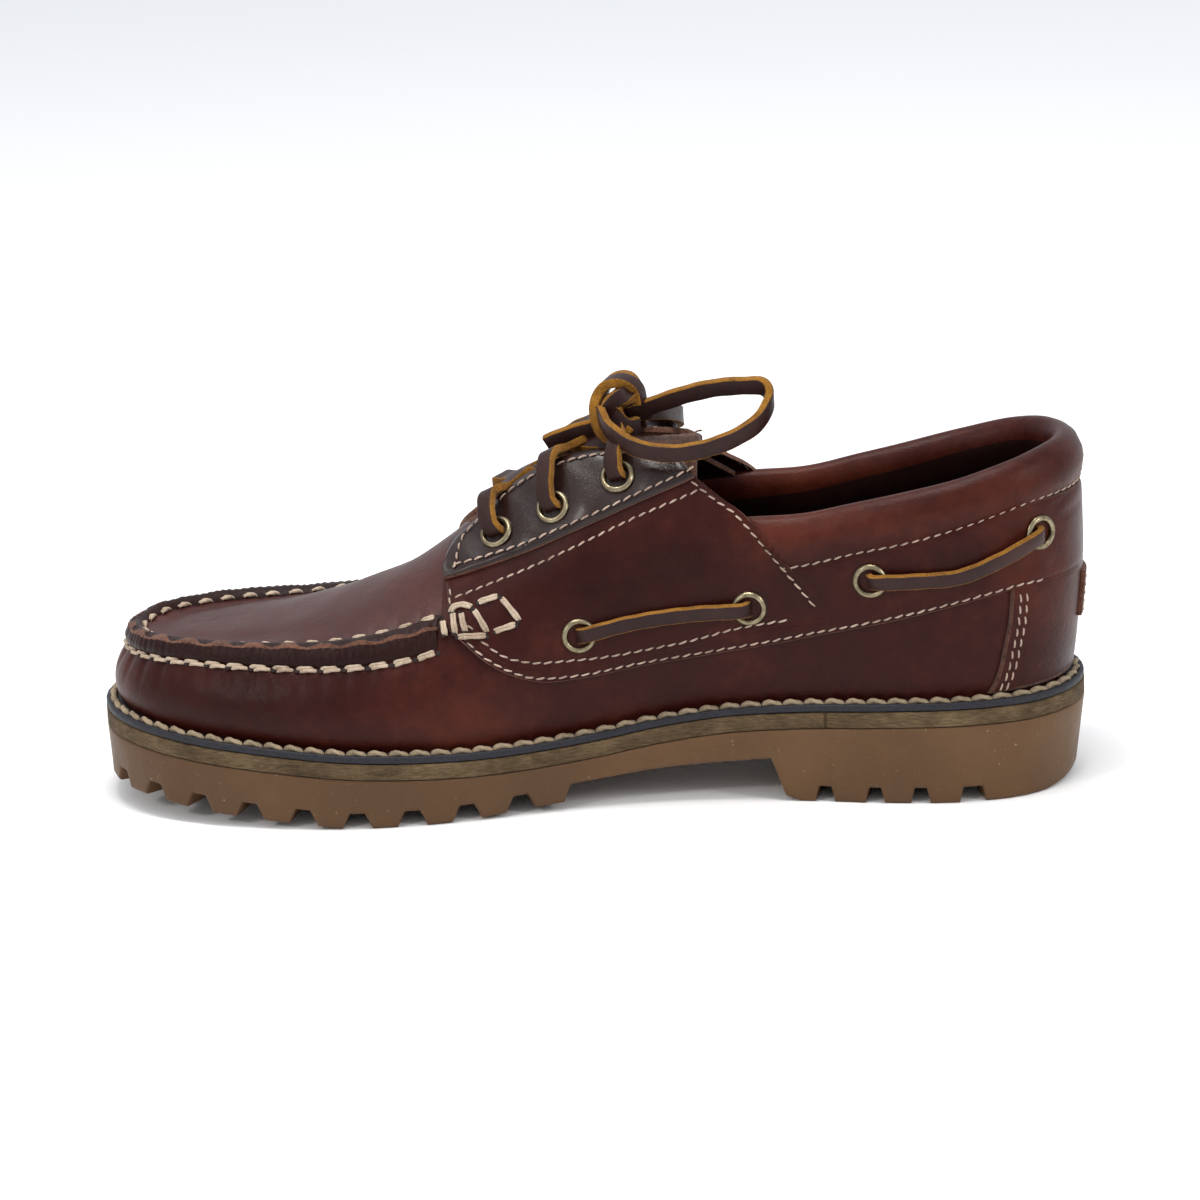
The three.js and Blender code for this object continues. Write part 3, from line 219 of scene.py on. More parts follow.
# Way along rows of points, from the first one
def way_along(points, axis=0):
    steps = np.linalg.norm(np.diff(points, axis=axis), axis=-1)
    start = np.zeros_like(np.take(steps, [0], axis=axis))
    return np.concatenate([start, np.cumsum(steps, axis=axis)], axis=axis)


# A turn runs round the foot: from the heel (0) over the outer side to the toe (1), and on over the inner
# side to the heel again (2). A place is the share of the way from heel to toe on either side.
def section_places():
    forward = np.diff(SECTIONS["along"]) * LENGTH
    across = np.diff(SECTIONS["medial"] + SECTIONS["lateral"]) / 2 * BALL_WIDTH
    ways = np.concatenate([[0], np.cumsum(np.hypot(forward, across))])
    return ways / ways[-1]


PLACES = section_places()


def turn_of(side, place):
    return np.asarray(place) if side == LATERAL else 2 - np.asarray(place)


def round_curve(lateral, medial, size=1):
    values = np.concatenate([lateral, medial[::-1][1:-1]]) * size
    turns = np.concatenate([PLACES, 2 - PLACES[::-1][1:-1]])
    knots = np.concatenate([turns[-3:] - 2, turns, turns[:3] + 2])
    curve = smooth_curve(knots, np.concatenate([values[-3:], values, values[:3]]))
    return lambda turn: curve(np.mod(turn, 2))


def shared(column, size=1):
    return round_curve(SECTIONS[column], SECTIONS[column], size)


CURVES = {
    "along": shared("along", LENGTH),
    "across": round_curve(SECTIONS["lateral"], -SECTIONS["medial"], BALL_WIDTH),
    "spine": shared("spine", LENGTH),
    "bulgeIn": shared("bulgeIn", INSTEP),
    "bulgeUp": shared("bulgeUp", INSTEP),
    "shoulderIn": round_curve(SECTIONS["lateralIn"], SECTIONS["medialIn"], INSTEP),
    "shoulderUp": round_curve(SECTIONS["lateralUp"], SECTIONS["medialUp"], INSTEP),
    "ridge": shared("ridge", INSTEP),
    "crease": shared("crease"),
}

# Heights of the sole's layers, by the distance from the heel
outsole_top = smooth_curve(SECTIONS["along"] * LENGTH, SECTIONS["soleTop"] * HEEL_STACK)


def midsole_top(along):
    return outsole_top(along) + GAP + MIDSOLE


def welt_top(along):
    return midsole_top(along) + GAP + WELT


def insole_top(along):
    return welt_top(along) + GAP + INSOLE


def underside(along):
    height = UNDERSIDE["arch"] * BREAST_RISE + UNDERSIDE["toe"] * TOE_SPRING
    return np.interp(along, UNDERSIDE["along"] * LENGTH, height)


def side_height(along, up):
    return welt_top(along) + up * INSTEP


def edge_point(turn):
    return np.stack([LENGTH / 2 - CURVES["along"](turn), CURVES["across"](turn)], axis=-1)


# The sole's edge moved inwards, seen from above
def inset_point(turn, inset):
    step = 1e-3
    ahead = unit(edge_point(turn + step) - edge_point(turn - step))
    outward = np.stack([ahead[..., 1], -ahead[..., 0]], axis=-1)
    return edge_point(turn) - outward * np.asarray(inset, float)[..., None]


# Curve from foot over bulge and shoulder to the ridge, with a break at the shoulder where crease is 1
def profile(rise, bulge, shoulder, ridge, crease, end_slope):
    k1, k2, k3 = BULGE_AT, SHOULDER_AT, 1
    low = bulge / k1
    mid = (shoulder - bulge) / (k2 - k1)
    top = (ridge - shoulder) / (k3 - k2)
    at_bulge = (low * (k2 - k1) + mid * k1) / k2
    smooth = (mid * (k3 - k2) + top * (k2 - k1)) / (k3 - k1)
    below = smooth + (2 * mid - at_bulge - smooth) * crease
    above = smooth + ((top if end_slope else 2 * top) - smooth) * crease
    spans = [k1, k2 - k1, k3 - k2]
    first = hermite(rise / k1, 0, bulge, spans[0] * (2 * low - at_bulge), spans[0] * at_bulge)
    second = hermite((rise - k1) / spans[1], bulge, shoulder, spans[1] * at_bulge, spans[1] * below)
    third = hermite((rise - k2) / spans[2], shoulder, ridge, spans[2] * above, spans[2] * top * end_slope)
    return np.where(rise < k1, first, np.where(rise < k2, second, third))


# Point of the upper's outer face, by turn and rise (0 at the foot of the wall, 1 on the ridge)
def face_point(turn, rise):
    turn, rise = np.broadcast_arrays(np.asarray(turn, float), np.asarray(rise, float))
    foot = inset_point(turn, WELT_LEDGE)
    spine = CURVES["spine"](turn)
    shift = SPINE_SHIFT * np.minimum(1, spine / (LENGTH * 0.3))
    reach = np.stack([LENGTH / 2 - spine - foot[..., 0], -shift - foot[..., 1]], axis=-1)
    radius = np.linalg.norm(reach, axis=-1)
    crease = CURVES["crease"](turn)
    inward = profile(rise, CURVES["bulgeIn"](turn), CURVES["shoulderIn"](turn), radius, crease, 1)
    upward = profile(
        rise, CURVES["bulgeUp"](turn), CURVES["shoulderUp"](turn), CURVES["ridge"](turn), crease, 0
    )
    plan = foot + reach * (inward / radius)[..., None]
    z = welt_top(CURVES["along"](turn)) + GAP + upward
    return np.concatenate([plan, z[..., None]], axis=-1)


def face_normal(turn, rise):
    turn, rise = np.broadcast_arrays(np.asarray(turn, float), np.asarray(rise, float))
    step = 2e-3
    along = face_point(turn + step, rise) - face_point(turn - step, rise)
    up = face_point(turn, np.minimum(rise + step, 1)) - face_point(turn, np.maximum(rise - step, 0))
    side = np.where(np.mod(turn, 2) < 1, 1.0, -1.0)
    zero = np.zeros_like(side)
    on_ridge = (rise > 1 - step)[..., None]
    level = np.stack(
        [np.where(np.abs(along[..., 0]) < 0.02, -side, along[..., 0]), zero, along[..., 2]], axis=-1
    )
    along = np.where(on_ridge, level, along)
    up = np.where(on_ridge, np.stack([zero, -side, zero], axis=-1), up)
    return unit(np.cross(along, up))


def offset_point(turn, rise, distance):
    distance = np.asarray(distance, float)[..., None]
    return face_point(turn, rise) + face_normal(turn, rise) * distance


# Fine net of face points, by turn and rise, for searches to read between
NET = face_point(np.linspace(0, 2, 2001)[:, None], np.linspace(0, 1, 241)[None])


def net_point(turn, rise):
    at_turn = np.mod(turn, 2) * (len(NET) - 1) / 2
    at_rise = np.clip(rise, 0, 1) * (NET.shape[1] - 1)
    i = np.minimum(at_turn.astype(int), len(NET) - 2)
    j = np.minimum(at_rise.astype(int), NET.shape[1] - 2)
    u, v = (at_turn - i)[..., None], (at_rise - j)[..., None]
    return (NET[i, j] * (1 - u) + NET[i + 1, j] * u) * (1 - v) + (
        NET[i, j + 1] * (1 - u) + NET[i + 1, j + 1] * u
    ) * v


# Rises at which the upper reaches a height
def rise_at(turn, height):
    return solve(lambda rise: net_point(turn, rise)[..., 2], height, 0, 1)


# Turn and rise of the points of the upper that are seen from the side at a distance from the heel and a
# height
def locate(side, along, height):
    def along_at(place):
        turn = turn_of(side, place)
        return LENGTH / 2 - net_point(turn, rise_at(turn, height))[..., 0]

    turn = turn_of(side, solve(along_at, along, 0, 1))
    return np.stack([turn, rise_at(turn, height)], axis=-1)


def locate_up(side, along, up):
    along = np.asarray(along, float) * LENGTH
    return locate(side, along, side_height(along, np.asarray(up, float)))


def place_at(along):
    return solve(CURVES["along"], along, 0, 1)


# Turn and rise of points over the roof of the foot, by the distance across from the instep's ridge
def roof(side, along, across):
    place = place_at(along)
    target = side * across - SPINE_SHIFT
    turn = turn_of(side, place)
    rise = solve(lambda r: -side * net_point(turn, r)[..., 1], -side * target, SHOULDER_AT * 0.8, 1)
    return np.stack([turn, rise], axis=-1)


# A table's line as the side view's turns and rises, on one side of the shoe
def side_line(side, rows, count=40, shift=0, part=(0, 1)):
    knots = np.arange(len(rows["along"]))
    at = np.linspace(part[0], part[1], count) * knots[-1]
    along = smooth_curve(knots, rows["along"])(at) * LENGTH
    height = side_height(along, smooth_curve(knots, rows["up"])(at)) + shift
    return locate(side, along, height)


def line_height(rows, along):
    return side_height(along, smooth_curve(rows["along"] * LENGTH, rows["up"])(along))


# Creases, as soft troughs (depth below 0 is a ridge) between two points seen from the side:
# along and up at each end, with width and depth in millimetres
CREASES = table("side along up toAlong toUp width depth", [
    [MEDIAL, 0.035, 0.66, 0.012, 0.7, 1.6, 0.35],
    [MEDIAL, 0.03, 0.62, 0.004, 0.64, 1.5, 0.3],
    [MEDIAL, 0.06, 0.5, 0.07, 0.42, 3.0, 0.4],
    [MEDIAL, 0.035, 0.5, 0.03, 0.43, 2.6, 0.3],
    [MEDIAL, 0.6, 0.2, 0.66, 0.08, 5.0, 0.5],
    [MEDIAL, 0.655, 0.3, 0.69, 0.16, 4.0, 0.4],
    [MEDIAL, 0.44, 0.6, 0.39, 0.44, 5.0, 0.45],
    [MEDIAL, 0.385, 0.68, 0.36, 0.52, 4.0, 0.35],
    [LATERAL, 0.6, 0.2, 0.665, 0.1, 5.0, 0.5],
    [LATERAL, 0.045, 0.48, 0.06, 0.41, 3.0, 0.35],
    [LATERAL, 0.43, 0.58, 0.385, 0.43, 5.0, 0.4],
])


# Height of the leather over its even face: slow waves and the listed creases
def relief(points, turn):
    x, y, z = points[..., 0], points[..., 1], points[..., 2]
    waves = 0.1 * np.sin(x / 7.3 + z / 11 + 1.3) * np.sin(y / 9.1 - z / 6.7)
    waves += 0.07 * np.sin(x / 3.9 - y / 5.2 + z / 8.4)
    lateral = np.mod(turn, 2) < 1
    for i in range(len(CREASES["side"])):
        row = {name: column[i] for name, column in CREASES.items()}
        start = np.array([row["along"] * LENGTH, side_height(row["along"] * LENGTH, row["up"])])
        end = np.array([row["toAlong"] * LENGTH, side_height(row["toAlong"] * LENGTH, row["toUp"])])
        seen = np.stack([LENGTH / 2 - x, z], axis=-1)
        run = end - start
        share = np.clip(((seen - start) @ run) / (run @ run), 0, 1)
        away = np.linalg.norm(seen - (start + share[..., None] * run), axis=-1)
        ends = 0.4 + 0.6 * np.sin(math.pi * share)
        waves -= (
            (lateral == (row["side"] == LATERAL)) * row["depth"] * ends
            * np.exp(-((away / row["width"]) ** 2))
        )
    return waves


# Tone of the leather, as soft spots seen from the side: partly its own uneven tone, partly painted highlights
# and painted shade. Columns: along, up, half widths along and up in millimetres, and how much lighter (or
# darker) they are
TONE_AND_LIGHT_SPOTS = table("along up wide high amount", [
    [0.6, 0.12, 22, 12, 0.25],
    [0.7, 0.1, 20, 9, 0.1],
    [0.86, 0.16, 46, 9, -0.3],
    [0.97, 0.16, 9, 16, 0.4],
    [0.53, 0.36, 16, 10, 0.1],
    [0.44, 0.5, 34, 20, -0.35],
    [0.36, 0.35, 14, 12, 0.25],
    [0.3, 0.62, 12, 8, 0.5],
    [0.22, 0.66, 34, 5, 0.35],
    [0.08, 0.75, 22, 8, 0.3],
    [0.06, 0.5, 12, 10, 0.45],
    [0.03, 0.3, 12, 12, 0.3],
    [0.2, 0.2, 30, 12, -0.2],
    [0.45, 0.1, 40, 8, -0.1],
    [0.16, 0.42, 14, 6, 0.15],
])


# Tone at each point: the leather's uneven tone together with painted highlights and painted shade
def tone_and_painted_light(points):
    seen_along = LENGTH / 2 - points[..., 0]
    total = np.full(seen_along.shape, 0.5)
    for i in range(len(TONE_AND_LIGHT_SPOTS["along"])):
        row = {name: column[i] for name, column in TONE_AND_LIGHT_SPOTS.items()}
        away_along = (seen_along - row["along"] * LENGTH) / row["wide"]
        away_up = (points[..., 2] - side_height(row["along"] * LENGTH, row["up"])) / row["high"]
        total += row["amount"] * 0.5 * np.exp(-(away_along**2) - away_up**2)
    return np.clip(total, 0, 1)


# Points and faces of one piece, collected part by part; a face's kind is the number of its material
class Shape:
    def __init__(self):
        self.points = []
        self.faces = []
        self.kinds = []
        self.count = 0

    def add(self, points):
        points = np.asarray(points, float)
        ids = self.count + np.arange(points[..., 0].size).reshape(points.shape[:-1])
        self.points.append(points.reshape(-1, 3))
        self.count += ids.size
        return ids

    # Faces between rows of points. Closed rows run on from their last point to their first.
    def skin(self, ids, kind=0, closed=False):
        here = ids if closed else ids[..., :-1]
        there = np.roll(ids, -1, axis=-1) if closed else ids[..., 1:]
        quads = np.stack(
            [here[..., :-1, :], there[..., :-1, :], there[..., 1:, :], here[..., 1:, :]], axis=-1
        )
        self.kinds.extend(np.broadcast_to(kind, quads.shape[:-1]).reshape(-1).tolist())
        self.faces.extend(quads.reshape(-1, 4).tolist())

    def cap(self, ring, kind=0):
        self.faces.append([int(i) for i in ring])
        self.kinds.append(int(kind))

    def piece(self, name, materials, replaces=(), merge=0):
        points = np.concatenate(self.points)
        mesh = bpy.data.meshes.new(name)
        mesh.from_pydata((points * MM).tolist(), [], self.faces)
        for material in materials:
            mesh.materials.append(material)
        mesh.polygons.foreach_set("material_index", self.kinds)
        mesh.polygons.foreach_set("use_smooth", [True] * len(self.faces))
        # Per-point tone for the leathers: partly uneven tone, partly painted highlights and painted shade
        light = mesh.attributes.new("tone_and_painted_light", "FLOAT", "POINT")
        light.data.foreach_set("value", tone_and_painted_light(points))
        mesh.update()
        obj = bpy.data.objects.new(name, mesh)
        bpy.context.scene.collection.objects.link(obj)
        if merge:
            weld = obj.modifiers.new("weld", "WELD")
            weld.merge_threshold = merge * MM
        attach(obj, "root")
        if replaces:
            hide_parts(*replaces)
        return obj


# Turns at even steps along the sole's edge
def walk(start, end, spacing):
    fine = np.linspace(start, end, 3000)
    way = way_along(edge_point(fine))
    count = max(2, round(way[-1] / spacing))
    return np.interp(np.linspace(0, way[-1], count + 1), way, fine)


# Shares of a length, closer together near both ends
def graded(length, spacing):
    near = np.array([0, 0.1, 0.24, 0.42, 0.65, 0.95, 1.4, 2.0])
    if length < 6:
        return np.linspace(0, 1, 12)
    inner = np.linspace(2.7, length - 2.7, max(2, round((length - 5.4) / spacing) + 1))
    return np.concatenate([near, inner, length - near[::-1]]) / length


def line_length(line):
    return way_along(face_point(line[:, 0], line[:, 1]))[-1]


def resample(line, shares):
    way = way_along(face_point(line[:, 0], line[:, 1]))
    at = np.asarray(shares) * way[-1]
    return np.stack([np.interp(at, way, line[:, 0]), np.interp(at, way, line[:, 1])], axis=-1)


# Turns and rises over a four-sided patch between its edge lines
def patch_grid(bottom, top, left, right, spacing):
    u = graded((line_length(bottom) + line_length(top)) / 2, spacing)
    v = graded((line_length(left) + line_length(right)) / 2, spacing)
    bottom, top = resample(bottom, u), resample(top, u)
    left, right = resample(left, v), resample(right, v)
    bottom[0], top[0] = left[0], left[-1]
    bottom[-1], top[-1] = right[0], right[-1]
    u, v = u[None, :, None], v[:, None, None]
    ruled = (1 - v) * bottom[None] + v * top[None] + (1 - u) * left[:, None] + u * right[:, None]
    corners = (1 - u) * ((1 - v) * bottom[0] + v * top[0]) + u * ((1 - v) * bottom[-1] + v * top[-1])
    grid = ruled - corners
    return grid if grid[0, -1, 0] > grid[0, 0, 0] else grid[:, ::-1]


def straight(start, end, count=12):
    f = np.linspace(0, 1, count)[:, None]
    return start * (1 - f) + end * f


# Distance of each point of a grid from the grid's edges: left, right, bottom and top
def edge_distances(points):
    along, up = way_along(points, 1), way_along(points, 0)
    return [along, along[:, -1:] - along, up, up[-1:] - up]


# Sheet of leather laid on the upper, with a rounded edge. lower says how much lower it lies, point by point.
def slab(shape, grid, base, thickness, lower=None, rounding=0.45, edge_kind=1, strip=0.0):
    turn, rise = grid[..., 0], grid[..., 1]
    points, normals = face_point(turn, rise), face_normal(turn, rise)
    distances = edge_distances(points)
    near = np.minimum.reduce(distances)
    drop = rounding - np.sqrt(np.maximum(rounding**2 - np.maximum(rounding - near, 0) ** 2, 0))
    height = base + thickness - drop + relief(points, turn)
    if lower is not None:
        height = height - lower(points, distances)
    ids = shape.add(points + normals * height[..., None])
    raw = (near[:-1, :-1] < strip) & (near[1:, 1:] < max(strip, 0.01))
    shape.skin(ids, np.where(raw, edge_kind, 0))
    loop = np.concatenate([ids[0, :-1], ids[:-1, -1], ids[-1, :0:-1], ids[:0:-1, 0]])
    sunk = points + normals * (base - 0.45)
    foot = np.concatenate([sunk[0, :-1], sunk[:-1, -1], sunk[-1, :0:-1], sunk[:0:-1, 0]])
    shape.skin(np.stack([shape.add(foot), loop]), edge_kind, closed=True)
    return height


# Stitches along a line of turns and rises, with a needle hole of painted shade at each end of each stitch
def stitch_row(
        shape, line, height, pitch=THREAD_PITCH, radius=THREAD, fill=0.76, tilt=0.12, twist=0.0, steps=9
):
    fine = resample(line, np.linspace(0, 1, max(40, int(line_length(line) * 2))))
    points = face_point(fine[:, 0], fine[:, 1])
    normals = face_normal(fine[:, 0], fine[:, 1])
    points = points + normals * (height + relief(points, fine[:, 0]))[:, None]
    stitches(shape, points, normals, pitch, radius, fill, tilt, twist, steps)


def stitches(shape, points, normals, pitch, radius, fill=0.76, tilt=0.12, twist=0.0, steps=9, holes=True):
    way = way_along(points)
    count = max(1, round(way[-1] / pitch))
    step = way[-1] / count
    f = np.linspace(0, 1, steps)
    middle = (np.arange(count)[:, None] + 0.5) * step
    at = middle + (f[None] - 0.5) * step * fill
    axis = np.stack([np.interp(at, way, points[:, i]) for i in range(3)], axis=-1)
    outward = unit(np.stack([np.interp(at, way, normals[:, i]) for i in range(3)], axis=-1))
    ahead = unit(np.gradient(axis, axis=1))
    aside = unit(np.cross(outward, ahead))
    uneven = 0.5 + 0.5 * np.sin(np.arange(count) * 2.4)[:, None]
    lean = tilt * step * (f[None] - 0.5) * (0.7 + 0.6 * uneven)
    lift = radius * (1.15 * np.sqrt(np.maximum(np.sin(math.pi * f), 0)) - 0.75)
    axis = axis + aside * lean[..., None] + outward * lift[None, :, None]
    size = radius * (0.35 + 0.65 * np.sqrt(np.maximum(np.sin(math.pi * (0.04 + 0.92 * f)), 0)))
    around = np.linspace(0, 2 * math.pi, 10, endpoint=False)
    ply = 1 + (0.2 if twist else 0.0) * np.cos(
        2 * around[None, None] - twist * 2 * math.pi * f[None, :, None]
    )
    reach = size[None, :, None] * ply
    ring = aside[:, :, None] * (np.cos(around) * reach)[..., None]
    ring = ring + outward[:, :, None] * (np.sin(around) * reach)[..., None]
    shape.skin(shape.add(axis[:, :, None] + ring), 0, closed=True)
    if holes:
        hole_at = np.concatenate([middle - step * 0.5, middle[-1:] + step * 0.5])[:, 0]
        needle_holes(shape, way, points, normals, hole_at, radius * 1.25)


# Needle holes as small cones in the second material, whose near-black colour is painted shade of the holes
def needle_holes(shape, way, points, normals, at, radius):
    centre = np.stack([np.interp(at, way, points[:, i]) for i in range(3)], axis=-1)
    outward = unit(np.stack([np.interp(at, way, normals[:, i]) for i in range(3)], axis=-1))
    ahead = unit(np.gradient(centre, axis=0)) if len(at) > 1 else unit(np.cross(outward, [0.3, 0.2, 1.0]))
    aside = np.cross(outward, ahead)
    around = np.linspace(0, 2 * math.pi, 8, endpoint=False)
    ring = ahead[:, None] * np.cos(around)[:, None] + aside[:, None] * np.sin(around)[:, None]
    rows = np.stack([
        centre[:, None] + ring * radius - outward[:, None] * 0.12,
        centre[:, None] + ring * radius * 0.6 + outward[:, None] * 0.03,
        centre[:, None] + ring * 0.02 + outward[:, None] * 0.05,
    ], axis=1)
    shape.skin(shape.add(rows[..., ::-1, :]), 1, closed=True)


# Smooth route through points, with vectors that are carried along it
def smooth_route(points, spacing, vectors=None):
    points = np.asarray(points, float)
    knots = np.concatenate([[0], np.cumsum(np.sqrt(np.linalg.norm(np.diff(points, axis=0), axis=-1)))])
    fine = np.linspace(0, knots[-1], 60 * len(points))
    dense = np.stack([smooth_curve(knots, points[:, i])(fine) for i in range(3)], axis=-1)
    way = way_along(dense)
    at = np.linspace(0, way[-1], max(8, round(way[-1] / spacing) + 1))
    route = np.stack([np.interp(at, way, dense[:, i]) for i in range(3)], axis=-1)
    if vectors is None:
        return route
    vectors = np.asarray(vectors, float)
    carried = np.stack([np.interp(np.interp(at, way, fine), knots, vectors[:, i]) for i in range(3)], axis=-1)
    return route, unit(carried)


# Flat strap of rounded section along a route. Its cut edges are of the second kind, and so is the flesh
# side: above (1) or below (-1) seen along the route, where across points to the right.
def strap(shape, route, across, width=LACE_WIDTH, thickness=LACE_THICKNESS, flesh=0):
    tangent = unit(np.gradient(route, axis=0))
    across = unit(across - tangent * np.sum(across * tangent, axis=-1, keepdims=True))
    over = np.cross(tangent, across)
    a, b, r = width / 2, thickness / 2, 0.32
    corners = [(a - r, b - r, 0), (-(a - r), b - r, 90), (-(a - r), -(b - r), 180), (a - r, -(b - r), 270)]
    section = []
    kinds = []
    for x, y, start in corners:
        for angle in (start, start + 45, start + 90):
            section.append((x + r * math.cos(math.radians(angle)), y + r * math.sin(math.radians(angle))))
        kinds += [1 if start in (0, 180) else 0, 0 if start in (0, 180) else 1, 0 if start in (0, 180) else 1]
    section, kinds = np.array(section), np.array(kinds)
    if flesh:
        kinds[[1, 2, 3] if flesh > 0 else [7, 8, 9]] = 1
    wave = 1 + 0.03 * np.sin(np.arange(len(route)) * 0.55)[:, None]
    rows = route[:, None] + across[:, None] * (section[:, 0] * wave)[..., None]
    rows = rows + over[:, None] * np.broadcast_to(section[:, 1], (len(route), len(section)))[..., None]
    ids = shape.add(rows)
    shape.skin(ids[:, ::-1], kinds[::-1][None, :].repeat(len(route) - 1, axis=0), closed=True)
    shape.cap(ids[0], 1)
    shape.cap(ids[-1][::-1], 1)


# Materials
class Nodes:
    def __init__(self, name):
        self.material = bpy.data.materials.new(name)
        self.material.use_nodes = True
        self.tree = self.material.node_tree
        self.shader = self.tree.nodes["Principled BSDF"]
        self.place = self.add("ShaderNodeTexCoord").outputs["Object"]

    def add(self, kind, values=None, **settings):
        node = self.tree.nodes.new(kind)
        for name, value in settings.items():
            setattr(node, name, value)
        for socket, value in (values or {}).items():
            self.put(node.inputs[socket], value)
        return node

    def put(self, socket, value):
        if isinstance(value, bpy.types.NodeSocket):
            self.tree.links.new(value, socket)
        else:
            socket.default_value = value

    def noise(self, scale, detail=3.0, rough=0.55, place=None):
        values = {"Vector": place or self.place, "Scale": scale, "Detail": detail, "Roughness": rough}
        return self.add("ShaderNodeTexNoise", values).outputs["Fac"]

    def ramp(self, value, stops):
        node = self.add("ShaderNodeValToRGB", {"Fac": value})
        elements = node.color_ramp.elements
        while len(elements) < len(stops):
            elements.new(0.5)
        for element, (at, color) in zip(elements, stops):
            element.position = at
            element.color = (*color, 1) if len(color) == 3 else color
        return node.outputs["Color"]

    def span(self, value, low, high, to_low, to_high):
        values = {"Value": value, "From Min": low, "From Max": high, "To Min": to_low, "To Max": to_high}
        return self.add("ShaderNodeMapRange", values).outputs["Result"]

    def mix(self, share, one, other, blend="MIX"):
        node = self.add("ShaderNodeMix", data_type="RGBA", blend_type=blend)
        for socket, value in ((node.inputs[0], share), (node.inputs[6], one), (node.inputs[7], other)):
            self.put(socket, value)
        return node.outputs[2]

    def math(self, operation, one, other):
        return self.add("ShaderNodeMath", {0: one, 1: other}, operation=operation).outputs[0]

    def bump(self, height, distance, strength=1.0, normal=None):
        values = {"Height": height, "Distance": distance, "Strength": strength}
        if normal is not None:
            values["Normal"] = normal
        return self.add("ShaderNodeBump", values).outputs["Normal"]

    def finish(self, **sockets):
        names = {"color": "Base Color", "roughness": "Roughness", "metallic": "Metallic", "normal": "Normal",
                 "coat": "Coat Weight", "coat_roughness": "Coat Roughness", "sheen": "Sheen Weight",
                 "specular": "Specular IOR Level", "ior": "IOR", "subsurface": "Subsurface Weight",
                 "radius": "Subsurface Radius", "scale": "Subsurface Scale", "tint": "Specular Tint",
                 "sheen_roughness": "Sheen Roughness", "sheen_tint": "Sheen Tint"}
        for name, value in sockets.items():
            self.put(self.shader.inputs[names[name]], value)
        return self.material


# Smooth pull-up leather: mottled, with fine grain, darker in its pores
def leather(name, dark, middle, light, rough=(0.27, 0.4), grain=1.0, specular=0.12, coat=0.0):
    n = Nodes(name)
    # The per-point tone holds painted highlights and painted shade as well as the leather's uneven tone
    painted = n.add("ShaderNodeAttribute", attribute_name="tone_and_painted_light").outputs["Fac"]
    clouds = n.noise(38, 4, 0.6)
    patches = n.noise(210, 3, 0.6)
    tone = n.math("ADD", painted, n.span(clouds, 0.3, 0.7, -0.1, 0.1))
    tone = n.math("ADD", tone, n.span(patches, 0.3, 0.7, -0.07, 0.07))
    color = n.ramp(tone, [(0.12, dark), (0.5, middle), (0.92, light)])
    pores = n.add("ShaderNodeTexVoronoi", {"Vector": n.place, "Scale": 1900.0}).outputs["Distance"]
    specks = n.noise(2600, 2, 0.6)
    fine = n.math("ADD", n.span(pores, 0.0, 0.6, 0.0, 0.6), n.span(specks, 0.3, 0.7, 0.0, 0.5))
    color = n.mix(n.span(fine, 0.1, 0.8, 0.22, 0.0), color, (0.02, 0.006, 0.005, 1))
    scratch_place = n.add(
        "ShaderNodeMapping", {"Vector": n.place, "Scale": (1.0, 1.0, 9.0)}
    ).outputs["Vector"]
    scratches = n.noise(260, 5, 0.7, scratch_place)
    color = n.mix(n.span(scratches, 0.66, 0.78, 0.0, 0.22), color, (0.25, 0.1, 0.07, 1))
    normal = n.bump(fine, 0.00012 * grain, 0.55)
    normal = n.bump(n.noise(420, 4, 0.6), 0.0004, 0.35, normal)
    roughness = n.span(
        n.math("ADD", clouds, n.span(specks, 0.3, 0.7, -0.1, 0.1)), 0.3, 0.75, rough[0], rough[1]
    )
    return n.finish(color=color, roughness=roughness, normal=normal, specular=specular,
                    coat=coat, coat_roughness=0.25)


# Cut edge or flesh side: fibrous and dull
def suede(name, dark, light, scale=1500.0, sheen=0.15):
    n = Nodes(name)
    fibres = n.noise(scale, 5, 0.7)
    clouds = n.noise(160, 3, 0.6)
    tone = n.math("ADD", n.span(fibres, 0.25, 0.75, 0.0, 0.7), n.span(clouds, 0.3, 0.7, 0.0, 0.3))
    color = n.ramp(tone, [(0.2, dark), (0.8, light)])
    normal = n.bump(fibres, 0.00035, 0.9)
    return n.finish(color=color, roughness=0.9, specular=0.1, normal=normal, sheen=sheen)


def thread(name, dark, light):
    n = Nodes(name)
    fibres = n.noise(2300, 4, 0.7)
    dirt = n.noise(120, 3, 0.6)
    tone = n.math("ADD", n.span(fibres, 0.25, 0.75, 0.0, 0.6), n.span(dirt, 0.3, 0.7, 0.0, 0.4))
    color = n.ramp(tone, [(0.15, dark), (0.7, light)])
    return n.finish(color=color, roughness=0.72, normal=n.bump(fibres, 0.00018, 0.8))


# Inside of a needle hole: near-black colour, painted shade of the hole
def needle_hole_shade():
    n = Nodes("needle_hole_shade")
    fibres = n.noise(1500, 3, 0.6)
    return n.finish(
        color=n.ramp(fibres, [(0.3, (0.003, 0.001, 0.001)), (0.8, (0.02, 0.008, 0.006))]), roughness=0.9
    )


# Gum rubber: even, a little cloudy, with pale dust and moulding specks
def gum_rubber():
    n = Nodes("gum_rubber")
    clouds = n.noise(22, 4, 0.55)
    specks = n.noise(900, 2, 0.5)
    color = n.ramp(n.span(clouds, 0.3, 0.7, 0.1, 0.9), [
        (0.0, (0.065, 0.03, 0.0105)), (0.5, (0.085, 0.041, 0.015)), (1.0, (0.115, 0.058, 0.022)),
    ])
    color = n.mix(n.span(specks, 0.7, 0.8, 0.0, 0.35), color, (0.5, 0.38, 0.25, 1))
    normal = n.bump(n.noise(700, 3, 0.6), 0.00012, 0.5)
    rough = n.span(n.noise(90, 3, 0.6), 0.3, 0.7, 0.42, 0.58)
    return n.finish(color=color, roughness=rough, normal=normal, specular=0.25, subsurface=0.15,
                    radius=(1.0, 0.45, 0.18), scale=0.004)


